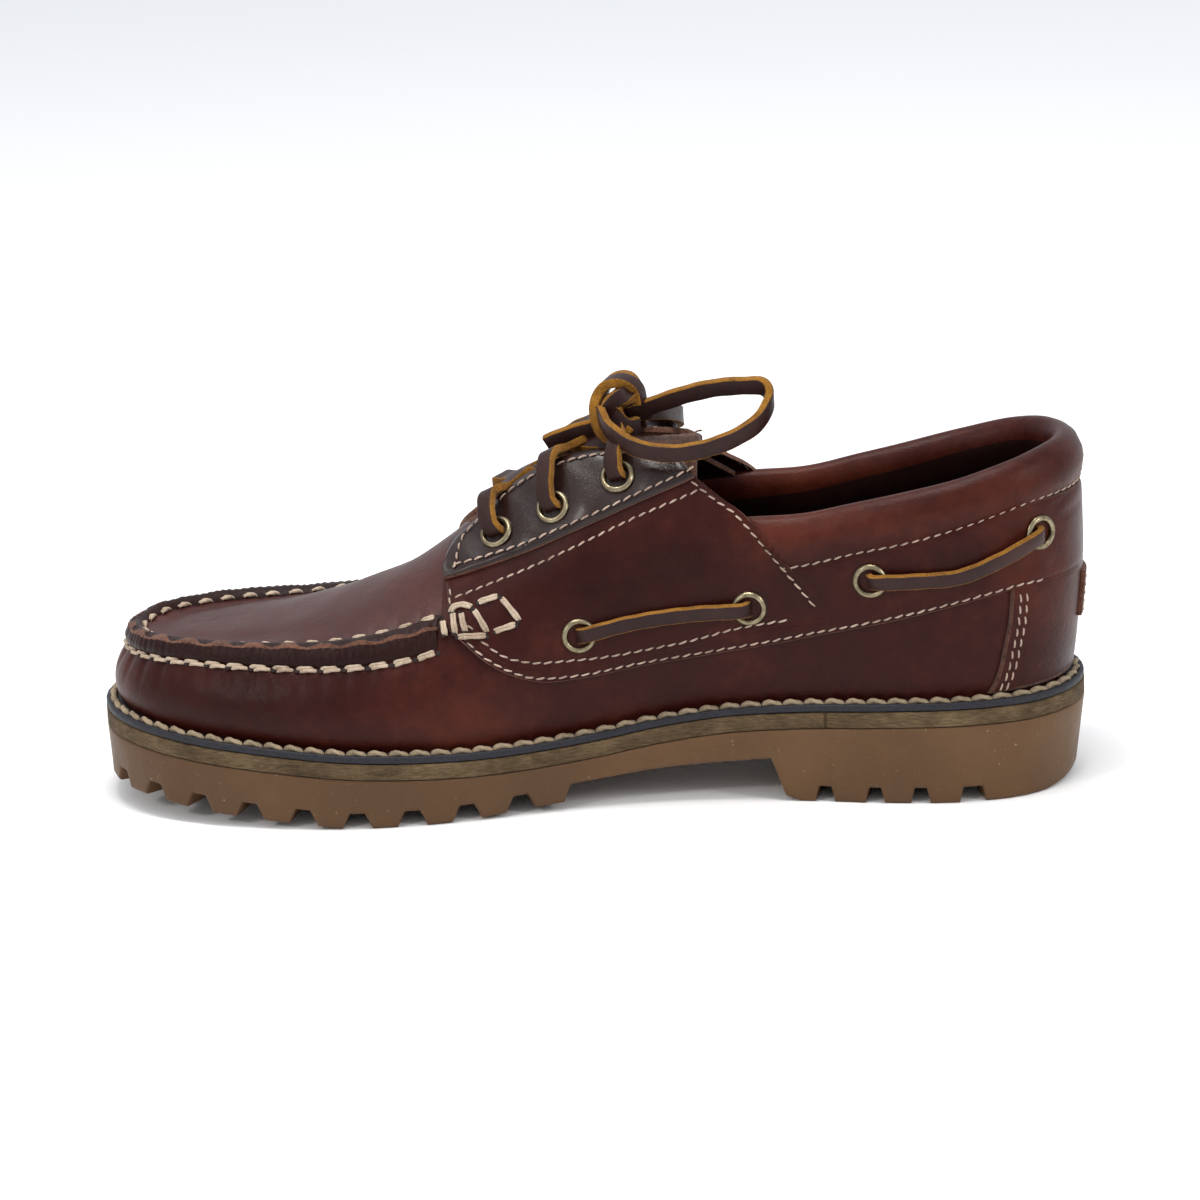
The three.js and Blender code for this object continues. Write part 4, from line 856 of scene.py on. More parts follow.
# Midsole edge: pressed leather board, fibrous along the edge
def leather_board():
    n = Nodes("leather_board")
    stretched = n.add("ShaderNodeMapping", {"Vector": n.place, "Scale": (0.35, 0.35, 2.6)}).outputs["Vector"]
    fibres = n.noise(900, 6, 0.75, stretched)
    clouds = n.noise(70, 4, 0.6)
    tone = n.math("ADD", n.span(fibres, 0.25, 0.75, 0.0, 0.75), n.span(clouds, 0.3, 0.7, -0.1, 0.3))
    color = n.ramp(
        tone, [(0.1, (0.028, 0.018, 0.009)), (0.5, (0.085, 0.055, 0.028)), (0.95, (0.18, 0.125, 0.068))]
    )
    return n.finish(color=color, roughness=0.78, specular=0.15, normal=n.bump(fibres, 0.0004, 0.8))


def black_welt():
    n = Nodes("black_welt")
    fibres = n.noise(1400, 4, 0.7)
    color = n.ramp(
        fibres, [(0.3, (0.006, 0.006, 0.009)), (0.7, (0.02, 0.02, 0.028)), (0.85, (0.09, 0.08, 0.075))]
    )
    return n.finish(color=color, roughness=0.5, specular=0.25, normal=n.bump(fibres, 0.0002, 0.6))


def antique_brass():
    n = Nodes("antique_brass")
    tarnish = n.noise(420, 4, 0.65)
    color = n.ramp(
        tarnish, [(0.3, (0.13, 0.105, 0.065)), (0.6, (0.28, 0.235, 0.15)), (0.85, (0.42, 0.36, 0.25))]
    )
    rough = n.span(tarnish, 0.3, 0.7, 0.42, 0.26)
    return n.finish(
        color=color, metallic=1.0, roughness=rough, normal=n.bump(n.noise(1500, 3, 0.6), 0.00006, 0.5)
    )


def pale_floor():
    n = Nodes("pale_floor")
    clouds = n.noise(3, 2, 0.5)
    return n.finish(
        color=n.ramp(clouds, [(0.3, (0.9, 0.9, 0.9)), (0.7, (0.91, 0.91, 0.91))]), roughness=0.9,
        specular=0.1
    )


OXBLOOD = leather("oxblood", (0.009, 0.0012, 0.001), (0.029, 0.0045, 0.003), (0.085, 0.017, 0.008))
PLUG = leather("plug_leather", (0.02, 0.004, 0.0035), (0.045, 0.011, 0.009), (0.09, 0.027, 0.021),
               rough=(0.34, 0.48), specular=0.22)
STAY = leather("stay_leather", (0.006, 0.002, 0.0016), (0.013, 0.004, 0.003), (0.028, 0.009, 0.006),
               rough=(0.25, 0.34), specular=0.2, coat=0.3)
SEAM = leather(
    "seam_leather", (0.006, 0.0012, 0.001), (0.013, 0.0027, 0.002), (0.03, 0.007, 0.005), grain=1.6
)
LINING = leather("lining_leather", (0.004, 0.001, 0.001), (0.009, 0.0026, 0.002), (0.022, 0.006, 0.004),
                 rough=(0.45, 0.6))
RAW_EDGE = suede("raw_edge", (0.035, 0.012, 0.008), (0.17, 0.075, 0.045))
DARK_SUEDE = suede("dark_suede", (0.02, 0.008, 0.006), (0.11, 0.048, 0.03), 1200.0)
RAWHIDE = leather("rawhide", (0.009, 0.0026, 0.0022), (0.022, 0.0075, 0.006), (0.05, 0.02, 0.016),
                  rough=(0.34, 0.5), specular=0.2)
MUSTARD = suede("mustard_suede", (0.08, 0.03, 0.004), (0.33, 0.15, 0.02), 2200.0, 0.05)
CREAM = thread("cream_thread", (0.14, 0.085, 0.06), (0.46, 0.34, 0.27))
HAND_CREAM = thread("waxed_thread", (0.2, 0.13, 0.085), (0.48, 0.38, 0.28))
WELT_THREAD = thread("welt_thread", (0.08, 0.055, 0.03), (0.33, 0.25, 0.16))
HOLE_SHADE = needle_hole_shade()
RUBBER = gum_rubber()
BOARD = leather_board()
BLACK = black_welt()
BRASS = antique_brass()


# Camera, at the photograph's place: turned and raised about the shoe's middle, and rolled a little
def camera():
    raised, turned, rolled = math.radians(15.885), math.radians(4.68), math.radians(2.257)
    distance, aim = 1.3733, Vector((0.003216, 0, 0.05523))
    back = Vector(
        (math.sin(turned) * math.cos(raised), -math.cos(turned) * math.cos(raised), math.sin(raised))
    )
    right = Vector((math.cos(turned), math.sin(turned), 0))
    up = right.cross(-back)
    across = right * math.cos(rolled) - up * math.sin(rolled)
    over = right * math.sin(rolled) + up * math.cos(rolled)
    data = bpy.data.cameras.new("camera")
    data.sensor_width = 36
    data.lens = 135.02
    data.clip_start = 0.05
    obj = bpy.data.objects.new("camera", data)
    turn = Matrix((across, over, back)).transposed().to_4x4()
    obj.matrix_world = Matrix.Translation(aim + back * distance) @ turn
    bpy.context.scene.collection.objects.link(obj)
    bpy.context.scene.camera = obj


# Sole
def sole_taper(along):
    return np.interp(along, [0, LENGTH * 0.15, LENGTH * 0.35, LENGTH], [2.6, 1.8, 1.2, 0.5])


def edge_walk(start, end):
    fine = np.linspace(start, end, 3000)
    return way_along(edge_point(fine)), fine


# Turns at the middle of each notch, with the widths of its root and mouth
def notches():
    start = float(place_at(np.array(LENGTH * 0.564)))
    way, turns = edge_walk(start, 2 - start)
    count = round(way[-1] / LUG_PITCH)
    rows = [(float(np.interp(way[-1] * i / count, way, turns)), LUG_PITCH * 0.27, LUG_PITCH * 0.55)
            for i in range(count + 1)]
    for along, width in zip(HEEL_NOTCHES["along"], HEEL_NOTCHES["width"] * LUG_PITCH):
        place = float(place_at(np.array(along * LENGTH)))
        rows += [(place, width, width + LUG_DEPTH / 2), (2 - place, width, width + LUG_DEPTH / 2)]
    return rows


NOTCHES = notches()


# Turns all round the sole, with those where a notch or a step of the underside bends
def sole_turns():
    fine = np.linspace(0, 2, 6000)
    way = way_along(edge_point(fine))
    marks = []
    for turn, root, mouth in NOTCHES:
        middle = np.interp(turn, fine, way)
        marks += [middle + side * half + nudge for side in (-1, 1) for half in (root / 2, mouth / 2)
                  for nudge in (-0.35, 0, 0.35)]
    for along in UNDERSIDE["along"][1:-1]:
        place = float(place_at(np.array(along * LENGTH)))
        marks += [np.interp(place, fine, way), np.interp(2 - place, fine, way)]
    even = np.linspace(0, way[-1], 520, endpoint=False)
    marks = np.array(marks)
    even = even[np.min(np.abs(even[:, None] - marks[None]), axis=1) > 0.5]
    ways = np.unique(np.round(np.concatenate([even, marks]), 3))
    keep = np.concatenate([[True], np.diff(ways) > 0.12])
    return np.interp(ways[keep], way, fine)


def notch_depth(turns):
    fine = np.linspace(0, 2, 6000)
    way = way_along(edge_point(fine))
    at = np.interp(turns, fine, way)
    depth = np.zeros(len(turns))
    for turn, root, mouth in NOTCHES:
        away = np.abs(at - np.interp(turn, fine, way))
        slope = np.clip((mouth / 2 - away) / ((mouth - root) / 2), 0, 1)
        depth = np.maximum(depth, slope * (1.15 - 0.15 * slope))
    return depth * LUG_DEPTH


def sole_ring(turns, inset, height):
    plan = inset_point(turns, np.broadcast_to(inset, turns.shape))
    return np.concatenate([plan, np.broadcast_to(height, turns.shape)[..., None]], axis=-1)


# Cap of a ring that runs round the sole, laid across from side to side
def ladder(shape, ring, kind=0, up=True):
    count = len(ring)
    for i in range(count // 2):
        a, b, c, d = ring[i], ring[i + 1], ring[(count - i - 1) % count], ring[(count - i) % count]
        quad = [d, c, b, a] if up else [a, b, c, d]
        seen = list(dict.fromkeys(int(q) for q in quad))
        if len(seen) > 2:
            shape.cap(seen, kind)


def outsole():
    shape = Shape()
    turns = sole_turns()
    along = CURVES["along"](turns)
    top, taper = outsole_top(along), sole_taper(along)
    bottom = underside(along) + notch_depth(turns)
    treaded = (along < LENGTH * 0.305) | (along > LENGTH * 0.53)
    root = underside(along) + np.where(treaded, LUG_DEPTH, 0)
    rings = [sole_ring(turns, 0.5, top), sole_ring(turns, 0.12, top - 0.14), sole_ring(turns, 0, top - 0.5)]
    for share in (0.12, 0.3, 0.5, 0.7, 0.88):
        rings.append(sole_ring(turns, taper * share, top - 0.5 + (bottom + 0.9 - top + 0.5) * share))
    rings.append(sole_ring(turns, taper, bottom + 0.9))
    rings.append(sole_ring(turns, taper + 0.26, bottom + 0.28))
    rings.append(sole_ring(turns, taper + 0.9, bottom))
    for inset in (4.5, 9, LUG_LENGTH - 0.6):
        rings.append(
            sole_ring(turns, inset, underside(along) + notch_depth(turns) * (1 - 0.3 * inset / LUG_LENGTH))
        )
    rings.append(sole_ring(turns, LUG_LENGTH, np.maximum(bottom, (root + underside(along)) / 2)))
    rings.append(sole_ring(turns, LUG_LENGTH + 0.25, root))
    rings.append(sole_ring(turns, LUG_LENGTH + CHANNEL, root))
    ids = shape.add(np.stack(rings))
    shape.skin(ids[::-1], 0, closed=True)
    ladder(shape, ids[0])
    tread(shape)
    return shape.piece("outsole_rubber", [RUBBER], ["outsole"])


# Middle of the tread, inside the channel
def tread(shape):
    places = np.linspace(0.03, 0.975, 420)
    across = np.concatenate([[0, 0.006], np.linspace(0.02, 0.98, 22), [0.994, 1]])
    one = inset_point(places, np.full(places.shape, LUG_LENGTH + CHANNEL - 0.1))
    other = inset_point(2 - places, np.full(places.shape, LUG_LENGTH + CHANNEL - 0.1))
    plan = one[None] * (1 - across)[:, None, None] + other[None] * across[:, None, None]
    along = LENGTH / 2 - plan[..., 0]
    height = underside(along)
    treaded = (along < LENGTH * 0.303) | (along > LENGTH * 0.532)
    groove = np.zeros_like(along)
    grooves = [(share, 4.2) for share in (0.59, 0.66, 0.73, 0.8, 0.865)]
    grooves += [(share, 3.4) for share in (0.12, 0.19, 0.26)]
    for share, width in grooves:
        groove = np.maximum(
            groove, 1 - smoothstep(width / 2 - 0.4, width / 2 + 0.4, np.abs(along - share * LENGTH))
        )
    height = height + groove * LUG_DEPTH * 0.8
    edge = np.minimum(across, 1 - across)[:, None] < 0.003
    height = np.where(edge, height + np.where(treaded, LUG_DEPTH, 0), height)
    ids = shape.add(np.concatenate([plan, height[..., None]], axis=-1))
    shape.skin(ids, 0)


# Butt joint of midsole and welt on the inner side: how much the edge sinks in there
def joint(turns, share, width):
    place = float(place_at(np.array(LENGTH * share)))
    away = np.linalg.norm(edge_point(turns) - edge_point(np.array(2 - place)), axis=-1)
    return np.exp(-((away / width) ** 2))


def dense_turns(spacing):
    return walk(0, 2, spacing)[:-1]


def midsole():
    shape = Shape()
    fine = np.concatenate(
        [dense_turns(1.5), 2 - place_at(LENGTH * 0.26 + np.array([-0.5, -0.25, 0, 0.25, 0.5]))]
    )
    turns = np.unique(np.round(fine, 6))
    along = CURVES["along"](turns)
    top, bottom = midsole_top(along), outsole_top(along) + GAP
    wave = 0.06 * np.sin(np.arange(len(turns)) * 0.9) + 0.7 * joint(turns, 0.26, 0.35)
    rows = [
        (0.7, top), (0.25 + wave, top - 0.05), (wave, top - 0.35), (0.05 + wave, top - 2.2),
        (wave, bottom + 0.4), (0.2 + wave, bottom), (0.9, bottom),
    ]
    ids = shape.add(np.stack([sole_ring(turns, inset, height) for inset, height in rows]))
    shape.skin(ids[::-1], 0, closed=True)
    ladder(shape, ids[0])
    ladder(shape, ids[-1], up=False)
    return shape.piece("midsole_board", [BOARD], ["midsole"])


def welt():
    shape = Shape()
    turns = dense_turns(1.5)
    along = CURVES["along"](turns)
    top, bottom = welt_top(along), midsole_top(along) + GAP
    rough = 0.07 * np.sin(np.arange(len(turns)) * 1.7) + 0.05 * np.sin(np.arange(len(turns)) * 0.61)
    rows = [
        (WELT_WIDTH, bottom), (WELT_WIDTH, top), (4.4, top), (3.6, top - 0.15), (2.5, top - 0.5),
        (1.5, top - 0.15),
        (0.9 + rough, top), (0.35 + rough, top - 0.12), (0.15 + rough, top - 0.5),
        (0.12 + rough, bottom + 0.3),
        (0.3, bottom), (1.2, bottom),
    ]
    ids = shape.add(np.stack([sole_ring(turns, inset, height) for inset, height in rows]))
    shape.skin(ids[::-1], 0, closed=True)
    shape.skin(np.stack([ids[0], ids[-1]]), 0, closed=True)
    return shape.piece("welt_strip", [BLACK], ["welt"])


def welt_stitches():
    shape = Shape()
    turns = walk(0, 2, 0.6)
    plan = inset_point(turns, np.full(turns.shape, 2.5))
    height = welt_top(CURVES["along"](turns)) + 0.05
    points = np.concatenate([plan, height[:, None]], axis=-1)
    outward = unit(np.concatenate([(edge_point(turns) - plan) * 0.12, np.ones((len(turns), 1))], axis=-1))
    stitches(
        shape, points, outward, WELT_PITCH, 0.95, fill=0.99, tilt=-0.12, twist=1.3, steps=15, holes=False
    )
    return shape.piece("welt_stitches", [WELT_THREAD])


def insole():
    shape = Shape()
    turns = dense_turns(3)
    along = CURVES["along"](turns)
    bed = WELT_LEDGE + WALL + 1.6
    rows = [(bed + 14, insole_top(along) - 0.3), (bed + 5, insole_top(along)), (bed + 0.4, insole_top(along)),
            (bed, insole_top(along) - 0.5), (bed, welt_top(along) + GAP),
            (WELT_WIDTH + GAP, welt_top(along) + GAP),
            (WELT_WIDTH + GAP, midsole_top(along) + GAP)]
    ids = shape.add(np.stack([sole_ring(turns, inset, height) for inset, height in rows]))
    shape.skin(ids[::-1], 0, closed=True)
    ladder(shape, ids[0])
    ladder(shape, ids[-1], up=False)
    return shape.piece("insole_bed", [LINING], ["insole"])


# Way along the seam round the plug, from its start on the outer side, for what repeats along it
SEAM_START = float(locate_up(LATERAL, STAY_FRONT + 0.003, 0.45)[..., 0])
SEAM_TURNS = np.linspace(SEAM_START, 2 - SEAM_START, 2500)
SEAM_WAY = way_along(face_point(SEAM_TURNS, np.full(2500, SHOULDER_AT)))


def seam_way(turn):
    return np.interp(np.mod(turn, 2), SEAM_TURNS, SEAM_WAY)


# Pull of each hand stitch on the leather beside the seam
def stitch_pull(turn, share=1.0):
    phase = seam_way(turn) / HAND_PITCH
    return share * (0.5 + 0.5 * np.cos(2 * math.pi * phase)) ** 3


def throat_half(side, along):
    shares = THROAT["lateral" if side == LATERAL else "medial"]
    return smooth_curve(THROAT["along"] * LENGTH, shares * THROAT_WIDTH)(along)


# How far up each column of the upper reaches, before the top line or the throat cuts it off
def top_rises(turns):
    rises = np.linspace(0, 1, 700)
    points = face_point(turns[:, None], rises[None])
    along = LENGTH / 2 - points[..., 0]
    across = np.abs(points[..., 1] + SPINE_SHIFT)
    tops = {name: np.concatenate([TOP_LINE[name], QUARTER_BACK[name][3:]]) for name in ("along", "up")}
    over = (along < 0.398 * LENGTH) & (points[..., 2] > line_height(tops, along) - COLLAR_SEAT)
    lateral = np.mod(turns, 2)[:, None] < 1
    half = np.where(lateral, throat_half(LATERAL, along), throat_half(MEDIAL, along)) + 0.8
    half = half * np.sqrt(np.clip((THROAT_END * LENGTH - along) / 6, 0, 1))
    inside = (along > 0.36 * LENGTH) & (across < half) & (rises[None] > 0.5)
    cut = over | inside
    return np.where(cut.any(axis=1), rises[np.argmax(cut, axis=1)], 1.0)


def vamp_relief(turn, rise, points):
    height = relief(points, turn)
    front = smoothstep(SEAM_START - 0.01, SEAM_START + 0.02, 1 - np.abs(1 - np.mod(turn, 2)))
    wall = CURVES["shoulderUp"](turn) + 1
    below = (SHOULDER_AT - 0.085 - rise) / SHOULDER_AT * wall
    pull = stitch_pull(turn)
    folds = np.where(below > 0, np.exp(-((below / 6.0) ** 2)), 0) * (pull * 0.55 - 0.1)
    soft = 0.18 * np.sin(seam_way(turn) / 5.1) * np.exp(-(((below - 6) / 6.0) ** 2))
    above = (rise - SHOULDER_AT - 0.03) * 100
    plug = np.where(above > 0, np.exp(-((above / 4.5) ** 2)), 0) * pull * 0.3
    dish = 0.9 * np.exp(-(((above - 9) / 7) ** 2)) * smoothstep(0.66, 0.8, 1 - np.abs(1 - np.mod(turn, 2)))
    return height - front * (folds + soft + plug + dish)


def upper():
    shape = Shape()
    front = walk(0.52, 1.48, 0.85)
    back = walk(-0.52, 0.52, 2.2)
    turns = np.concatenate([back[:-1], front[:-1]])
    tops = top_rises(turns)
    wall = np.concatenate([np.linspace(0, 0.46, 26), np.linspace(0.47, SHOULDER_AT, 18)[:]])
    plug = np.linspace(SHOULDER_AT, 1, 44)[1:]
    shares = np.concatenate([wall, plug])
    rise = shares[:, None] * tops[None]
    turn = np.broadcast_to(turns, rise.shape)
    points = face_point(turn, rise)
    height = vamp_relief(turn, rise, points)
    outer = points + face_normal(turn, rise) * height[..., None]
    foot = outer[0] - [0, 0, 2.2]
    inner_shares = np.concatenate([[1], np.linspace(0.98, 0.0, 24)])
    inner_rise = inner_shares[:, None] * tops[None]
    inner = offset_point(
        np.broadcast_to(turns, inner_rise.shape), inner_rise, np.full(inner_rise.shape, -float(WALL))
    )
    outer_ids = shape.add(np.concatenate([foot[None], outer]))
    inner_ids = shape.add(inner)
    kinds = np.zeros((len(outer_ids) - 1, outer_ids.shape[1]), int)
    kinds[len(wall):] = 1
    in_front = (1 - np.abs(1 - np.mod(turns, 2))) > SEAM_START
    kinds[:, ~in_front] = 0
    shape.skin(outer_ids, kinds, closed=True)
    shape.skin(inner_ids, 2, closed=True)
    open_top = tops < 1
    rim = np.stack([outer_ids[-1], inner_ids[0]])
    for i in np.flatnonzero(open_top | np.roll(open_top, -1)):
        j = (i + 1) % len(turns)
        shape.cap([rim[0, i], rim[0, j], rim[1, j], rim[1, i]], 3)
    return shape.piece("upper_leather", [OXBLOOD, PLUG, LINING, RAW_EDGE], ["upper"], merge=0.02)


# Raised seam: outer wall gathered by the hand stitches, thin raw crest, and the slope down to the plug
def moc_seam():
    shape = Shape()
    section = table("rise out kind", [
        [-0.088, -0.2, 0], [-0.082, 0.12, 0], [-0.077, 0.4, 0], [-0.066, 0.68, 0], [-0.05, 0.88, 0],
        [-0.032, 1.0, 0], [-0.018, 1.06, 0], [-0.012, 1.1, 1], [-0.006, 1.1, 1], [0, 1.04, 0],
        [0.01, 0.93, 0], [0.022, 0.72, 0], [0.032, 0.42, 0], [0.038, 0.15, 0], [0.042, -0.2, 0],
    ])
    turns = np.interp(np.arange(0, SEAM_WAY[-1], 0.42), SEAM_WAY, SEAM_TURNS)
    way = seam_way(turns)
    ends = smoothstep(0, 5, way) * smoothstep(0, 5, SEAM_WAY[-1] - way)
    gather = np.abs(np.sin(math.pi * way / HAND_PITCH)) ** 0.7
    small = np.sin(way * 2 * math.pi / 2.3 + 1.5 * np.sin(way / 4.1))
    turn = np.broadcast_to(turns, (len(section["rise"]), len(turns)))
    rise = SHOULDER_AT + section["rise"][:, None] * np.ones_like(turn)
    wall = np.exp(-(((section["rise"] + 0.05) / 0.03) ** 2))[:, None]
    crest = np.exp(-(((section["rise"] + 0.008) / 0.012) ** 2))[:, None]
    out = section["out"][:, None] * SEAM_HEIGHT * (0.35 + 0.65 * ends)[None]
    out = (
        out
        + wall * (0.42 * gather - 0.3 + 0.12 * small)[None]
        + crest * (0.14 * small + 0.1 * np.sin(way / 2.9))[None]
    )
    rise = rise + 0.004 * crest * np.sin(way / 1.7)[None]
    ids = shape.add(offset_point(turn, rise, out))
    kinds = np.broadcast_to(
        section["kind"][:-1, None], (len(section["kind"]) - 1, len(turns) - 1)
    ).astype(int)
    shape.skin(ids, kinds)
    shape.cap(ids[:, 0], 0)
    shape.cap(ids[::-1, -1], 0)
    return shape.piece("seam_ridge", [SEAM, RAW_EDGE], ["moc_seam"])


def hand_stitches():
    shape = Shape()
    turns = np.interp(np.linspace(0, SEAM_WAY[-1], 900), SEAM_WAY, SEAM_TURNS)
    for at, height, fill in ((-0.094, 0.35, 0.72), (0.034, 0.5, 0.6)):
        rise = np.full(turns.shape, SHOULDER_AT + at)
        points = face_point(turns, rise)
        normals = face_normal(turns, rise)
        for aside in (-0.42, 0.42):
            up = unit(np.cross(normals, unit(np.gradient(points, axis=0))))
            row = points + normals * height + up * aside
            stitches(shape, row, normals, HAND_PITCH, HAND_THREAD, fill, 0.05, 1.2, 13, holes=aside < 0)
    bar_tack(shape)
    return shape.piece("hand_stitches", [HAND_CREAM, HOLE_SHADE])


# Thick stitches that fasten the seam's ends to the quarters: distance from the heel and height of each point
BAR_TACK = [
    [(190.8, 59.0), (190.3, 55.4)], [(188.9, 61.0), (187.5, 62.5), (185.0, 63.1), (182.1, 62.6)],
    [(187.8, 61.0), (187.3, 55.8)], [(185.3, 61.1), (184.9, 58.8), (184.2, 56.3)],
    [(186.6, 55.1), (177.9, 55.2)], [(181.4, 62.0), (179.6, 59.3), (177.9, 56.1)],
    [(180.3, 63.9), (174.3, 65.7)], [(173.3, 65.3), (170.8, 62.4), (168.4, 59.1)],
    [(175.8, 56.4), (169.4, 58.1)],
]


def bar_tack(shape):
    for side in SIDES.values():
        for stitch in BAR_TACK:
            along, height = np.array(stitch).T
            line = resample(locate(side, along, height), np.linspace(0, 1, 12))
            points, normals = face_point(line[:, 0], line[:, 1]), face_normal(line[:, 0], line[:, 1])
            up = unit(np.cross(normals, unit(np.gradient(points, axis=0))))
            for aside in (-0.4, 0.4):
                row = points + normals * (PANEL_OUT + 0.5) + up * aside
                length = way_along(row)[-1]
                stitches(shape, row, normals, length, HAND_THREAD * 0.9, 1.0, 0.03, 1.2, 13, holes=aside < 0)


# Panels
# Top edge of a quarter or stay, along the throat and round the front corner
def throat_line(side, start, inset=0):
    along = np.linspace(start, STAY_CORNER["along"][0], 50)
    across = throat_half(side, along * LENGTH)
    corner = np.linspace(0, 3, 16)[1:]
    turn_in = smooth_curve(np.arange(4), STAY_CORNER["across"])(corner) - STAY_CORNER["across"][0]
    along = np.concatenate([along, smooth_curve(np.arange(4), STAY_CORNER["along"])(corner)])
    across = np.concatenate([across, across[-1] + turn_in]) + inset
    return roof(side, along * LENGTH, across)


def groove(distance, at=2.0, depth=0.16, width=0.55):
    return depth * np.exp(-(((distance - at) / width) ** 2))


# Dimple round an eyelet, which pulls the leather in
def dimples(points, side, rows, depth=0.5, reach=7.5):
    sunk = np.zeros(points.shape[:-1])
    for along, up in rows.values():
        turn, rise = locate_up(side, along, up)
        centre = face_point(turn, rise)
        away = np.linalg.norm(points - centre, axis=-1)
        sunk += depth * np.exp(-(((away - 3.0) / (reach - 3.0)) ** 2))
    return sunk


def quarter(name):
    side = SIDES[name]
    shape = Shape()
    foot = side_line(side, QUARTER_FOOT)
    back = side_line(side, QUARTER_BACK, 30)
    top = throat_line(side, 0.4, 0.7)
    front = straight(foot[-1], top[-1])
    back[-1] = top[0]
    grid = patch_grid(foot, top, back, front, 0.9)

    def lower(points, distances):
        near = np.minimum.reduce(distances)
        return groove(near, 2.0) + dimples(points, side, SIDE_EYELETS, 0.35) - 0.15

    slab(shape, grid, GAP, OVERLAY, lower, strip=0.25)
    return shape.piece(f"quarter_panel_{name}", [OXBLOOD, RAW_EDGE], [f"quarter_{name}"])


def eyestay(name):
    side = SIDES[name]
    shape = Shape()
    foot = side_line(side, STAY_FOOT)
    top = throat_line(side, 0.397)
    front = straight(foot[-1], top[-1])
    back = straight(foot[0], top[0])
    grid = patch_grid(foot, top, back, front, 0.7)

    def lower(points, distances):
        near = np.minimum.reduce(distances)
        puckers = (
            0.16 * np.sin(points[..., 0] / 1.9 + points[..., 2] / 2.6) * np.exp(-(((near - 5) / 4) ** 2))
        )
        return groove(near, 1.9, 0.22) + dimples(points, side, LACE_EYELETS, 0.75) - 0.35 + puckers

    slab(shape, grid, PANEL_OUT, OVERLAY + GAP, lower, strip=0.25)
    return shape.piece(f"eyestay_panel_{name}", [STAY, RAW_EDGE], [f"eyestay_{name}"])


# How far a point is inside the quarter's outline, seen from the side
def under_quarter(points):
    along, height = LENGTH / 2 - points[..., 0], points[..., 2]
    above_foot = height - line_height(QUARTER_FOOT, along)
    below_back = (np.interp(height, side_height(QUARTER_BACK["along"] * LENGTH, QUARTER_BACK["up"]),
                            QUARTER_BACK["along"] * LENGTH) - along) * -0.85
    return np.minimum(above_foot, below_back)


def ankle_band():
    shape = Shape()
    along = np.linspace(0.0, 0.631, 240)
    foot_up = smooth_curve(BAND_FOOT["along"], BAND_FOOT["up"])(along)
    high = smooth_curve(COLLAR_STITCH["along"], COLLAR_STITCH["up"])(np.minimum(along, 0.33))
    low = smooth_curve(QUARTER_FOOT["along"], QUARTER_FOOT["up"])(np.maximum(along, 0.25)) + 3.2 / INSTEP
    top_up = high + (low - high) * smoothstep(0.296, 0.345, along)
    top_up = np.minimum(top_up, 0.7)
    top_up = np.maximum(top_up, foot_up + 0.02)
    lines = {}
    for name, up in (("foot", foot_up), ("top", top_up)):
        halves = {side: locate_up(side, along, up) for side in SIDES.values()}
        medial = halves[MEDIAL][::-1].copy()
        medial[:, 0] -= 2
        lines[name] = np.concatenate([medial[:-1], halves[LATERAL]])
        lines[name][len(medial) - 1, 0] = 0
    share = np.linspace(0, 1, len(lines["foot"]))
    count = 760
    at = np.linspace(0, 1, count)
    pick = lambda line: np.stack([np.interp(at, share, line[:, i]) for i in range(2)], axis=-1)
    foot, top = pick(lines["foot"]), pick(lines["top"])
    v = graded(22, 0.9)[:, None, None]
    grid = foot[None] * (1 - v) + top[None] * v

    def lower(points, distances):
        under = (
            smoothstep(0.2, 1.6, under_quarter(points))
            * smoothstep(0.24, 0.26, (LENGTH / 2 - points[..., 0]) / LENGTH)
        )
        edge = groove(distances[2], 1.1, 0.18) + groove(distances[3], 0.3, 0.3, 0.8) * (under < 0.5)
        both = dimples(points, MEDIAL, SIDE_EYELETS, 0.3) + dimples(points, LATERAL, SIDE_EYELETS, 0.3)
        return edge + both + 0.75 * under

    slab(shape, grid, GAP, OVERLAY, lower, strip=0.25)
    return shape.piece("ankle_band_panel", [OXBLOOD, RAW_EDGE], ["ankle_band"])


def counter():
    shape = Shape()
    fronts = {side: side_line(side, COUNTER_FRONT, 30) for side in SIDES.values()}
    left = fronts[MEDIAL] - [2, 0]
    right = fronts[LATERAL]
    for line in (left, right):
        line[:, 1] = np.maximum(line[:, 1], 0.01)
    bottom = straight(left[0], right[0], 40)
    turns = np.linspace(left[-1, 0], right[-1, 0], 60)
    top = np.stack(
        [turns, np.interp(turns, [left[-1, 0], 0, right[-1, 0]], [left[-1, 1], 0, right[-1, 1]])], axis=-1
    )
    height = side_height(0.0, 0.43)
    top[:, 1] = rise_at(turns, np.full(turns.shape, height))
    top[0], top[-1] = left[-1], right[-1]
    grid = patch_grid(bottom, top, left, right, 0.9)

    def lower(points, distances):
        side_edge = np.minimum(distances[0], distances[1])
        under = smoothstep(0.0, 1.5, points[..., 2] - line_height(BAND_FOOT, LENGTH / 2 - points[..., 0]))
        return groove(side_edge, 2.6) + groove(side_edge, 4.4) + 0.7 * under + 0.1

    slab(shape, grid, GAP, OVERLAY, lower, strip=1.3)
    return shape.piece("counter_panel", [OXBLOOD, DARK_SUEDE], ["counter"])


